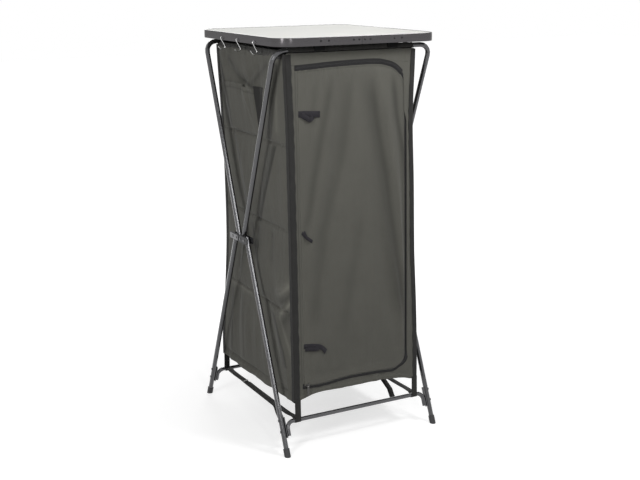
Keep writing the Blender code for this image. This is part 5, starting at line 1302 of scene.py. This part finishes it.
# The CAD nodes that stay, with what they are made of
ENDS = ("front_left", "front_right", "back_left", "back_right")
NODE_MATERIALS = {
    STEEL: ("upper_front_tube", "upper_back_tube", *(f"leg_{end}" for end in ENDS), "rail_front", "rail_back",
            "hub_left_inner_plate", "hub_right_inner_plate"),
    SHADED_SEAT_PLASTIC: tuple(f"seat_{end}" for end in ENDS),
    PLASTIC: ("hub_left_housing", "hub_right_housing", *(f"foot_cap_{end}" for end in ENDS)),
    ZINC: ("hub_left_plate", "hub_right_plate"),
    WHITE_TOP: ("table_board",),
    SLIDER_METAL: ("zip_slider", "zip_pull"),
}


def dress():
    for mat, names in NODE_MATERIALS.items():
        for name in names:
            materials = frame["nodes"][name].data.materials
            materials.clear()
            materials.append(mat)


def stage():
    """A pale floor that the camera sees as white, with the object's shadow on it."""
    bpy.ops.mesh.primitive_plane_add(size=30)
    floor = bpy.context.active_object
    floor.name = "floor"
    tree = material("floor_material")
    for socket, value in (("Base Color", (0.50, 0.50, 0.50, 1)), ("Roughness", 0.9), ("Specular IOR Level", 0.1)):
        tree.put(tree.shader.inputs[socket], value)
    ray = tree.node("ShaderNodeLightPath").outputs
    x, y, _ = tree.split(tree.coords())
    away = tree.math("SQRT", tree.math("ADD", tree.math("MULTIPLY", x, x), tree.math("MULTIPLY", y, y)))
    seen = tree.math("MAXIMUM", ray["Is Camera Ray"], ray["Is Glossy Ray"])
    strength = tree.math("MULTIPLY", seen, tree.span(away, 0.35, 1.5, 0.68, 1.0))
    glow = tree.node("ShaderNodeEmission", {"Strength": strength})
    both = tree.node("ShaderNodeAddShader", {0: tree.shader.outputs[0], 1: glow.outputs[0]})
    tree.put(tree.nodes["Material Output"].inputs["Surface"], both.outputs[0])
    floor.data.materials.append(tree.owner)


def world():
    """Soft light all round, in which the camera, gloss and clear parts see white."""
    studio = bpy.data.worlds.new("studio")
    bpy.context.scene.world = studio
    tree = Tree(studio, "Background")
    tree.put(tree.shader.inputs["Color"], (1, 1, 1, 1))
    ray = tree.node("ShaderNodeLightPath").outputs
    seen = tree.math("MAXIMUM", ray["Is Camera Ray"], ray["Is Glossy Ray"])
    seen = tree.math("MAXIMUM", seen, ray["Is Transmission Ray"])
    tree.put(tree.shader.inputs["Strength"], tree.span(seen, 0.0, 1.0, 0.12, 1.0))


# Name, place, target, size and power of each lamp
LAMPS = (
    ("key", (0.90, -1.25, 2.35), (0, -0.2, 1.00), (0.6, 0.5), 26),
    ("left_strip", (-2.30, -1.45, 1.95), (0, 0, 0.85), (0.42, 1.4), 29),
    ("streak", (-0.75, -2.95, 1.95), (-0.1, -0.2, 0.8), (0.24, 1.3), 14),
    ("left_top", (-2.0, -0.9, 2.5), (0, 0, 0.8), (0.6, 0.6), 6),
    ("back_light", (0.9, 2.2, 1.9), (0, 0, 0.7), (1.4, 1.2), 22),
)


def add(name, data):
    obj = bpy.data.objects.new(name, data)
    bpy.context.scene.collection.objects.link(obj)
    return obj


def lamp(name, place, target, size, power):
    data = bpy.data.lights.new(name, "AREA")
    data.shape, data.energy = "RECTANGLE", power
    data.size, data.size_y = size
    obj = add(name, data)
    obj.location = place
    obj.rotation_euler = (Vector(target) - Vector(place)).to_track_quat("-Z", "Y").to_euler()


# The photograph's camera, from the fit to ten points of the frame
CAMERA_PLACE, LENS = (-1.73442, -3.22564, 1.51177), 62.805
CAMERA_RIGHT, CAMERA_UP = Vector((0.878467, -0.477773, -0.005387)), Vector((0.119565, 0.208897, 0.970601))
CAMERA_FORWARD = Vector((0.462602, 0.853285, -0.240635))


def camera():
    data = bpy.data.cameras.new("camera")
    data.sensor_width, data.lens = 36.0, LENS
    obj = add("camera", data)
    turn = Matrix((CAMERA_RIGHT, CAMERA_UP, -CAMERA_FORWARD)).transposed().to_4x4()
    obj.matrix_world = Matrix.Translation(CAMERA_PLACE) @ turn
    bpy.context.scene.camera = obj


for side_name in SIDE:
    side_wall(side_name)
back_wall()
door()
surround()
zip_band()
for side_name in SIDE:
    for face_name in FACE:
        binding(side_name, face_name)
for face_name in FACE:
    top_band(face_name)
shelves()
roof()
for side_name in SIDE:
    top_strip(side_name)
pocket()
ties()
for side_name in SIDE:
    for face_name in FACE:
        strap(face_name, side_name)
fastening_edge()
door_stitching()
rim()
rivets()
hooks()
dress()
stage()
world()
for settings in LAMPS:
    lamp(*settings)
camera()
bpy.context.scene.view_settings.view_transform = "Standard"
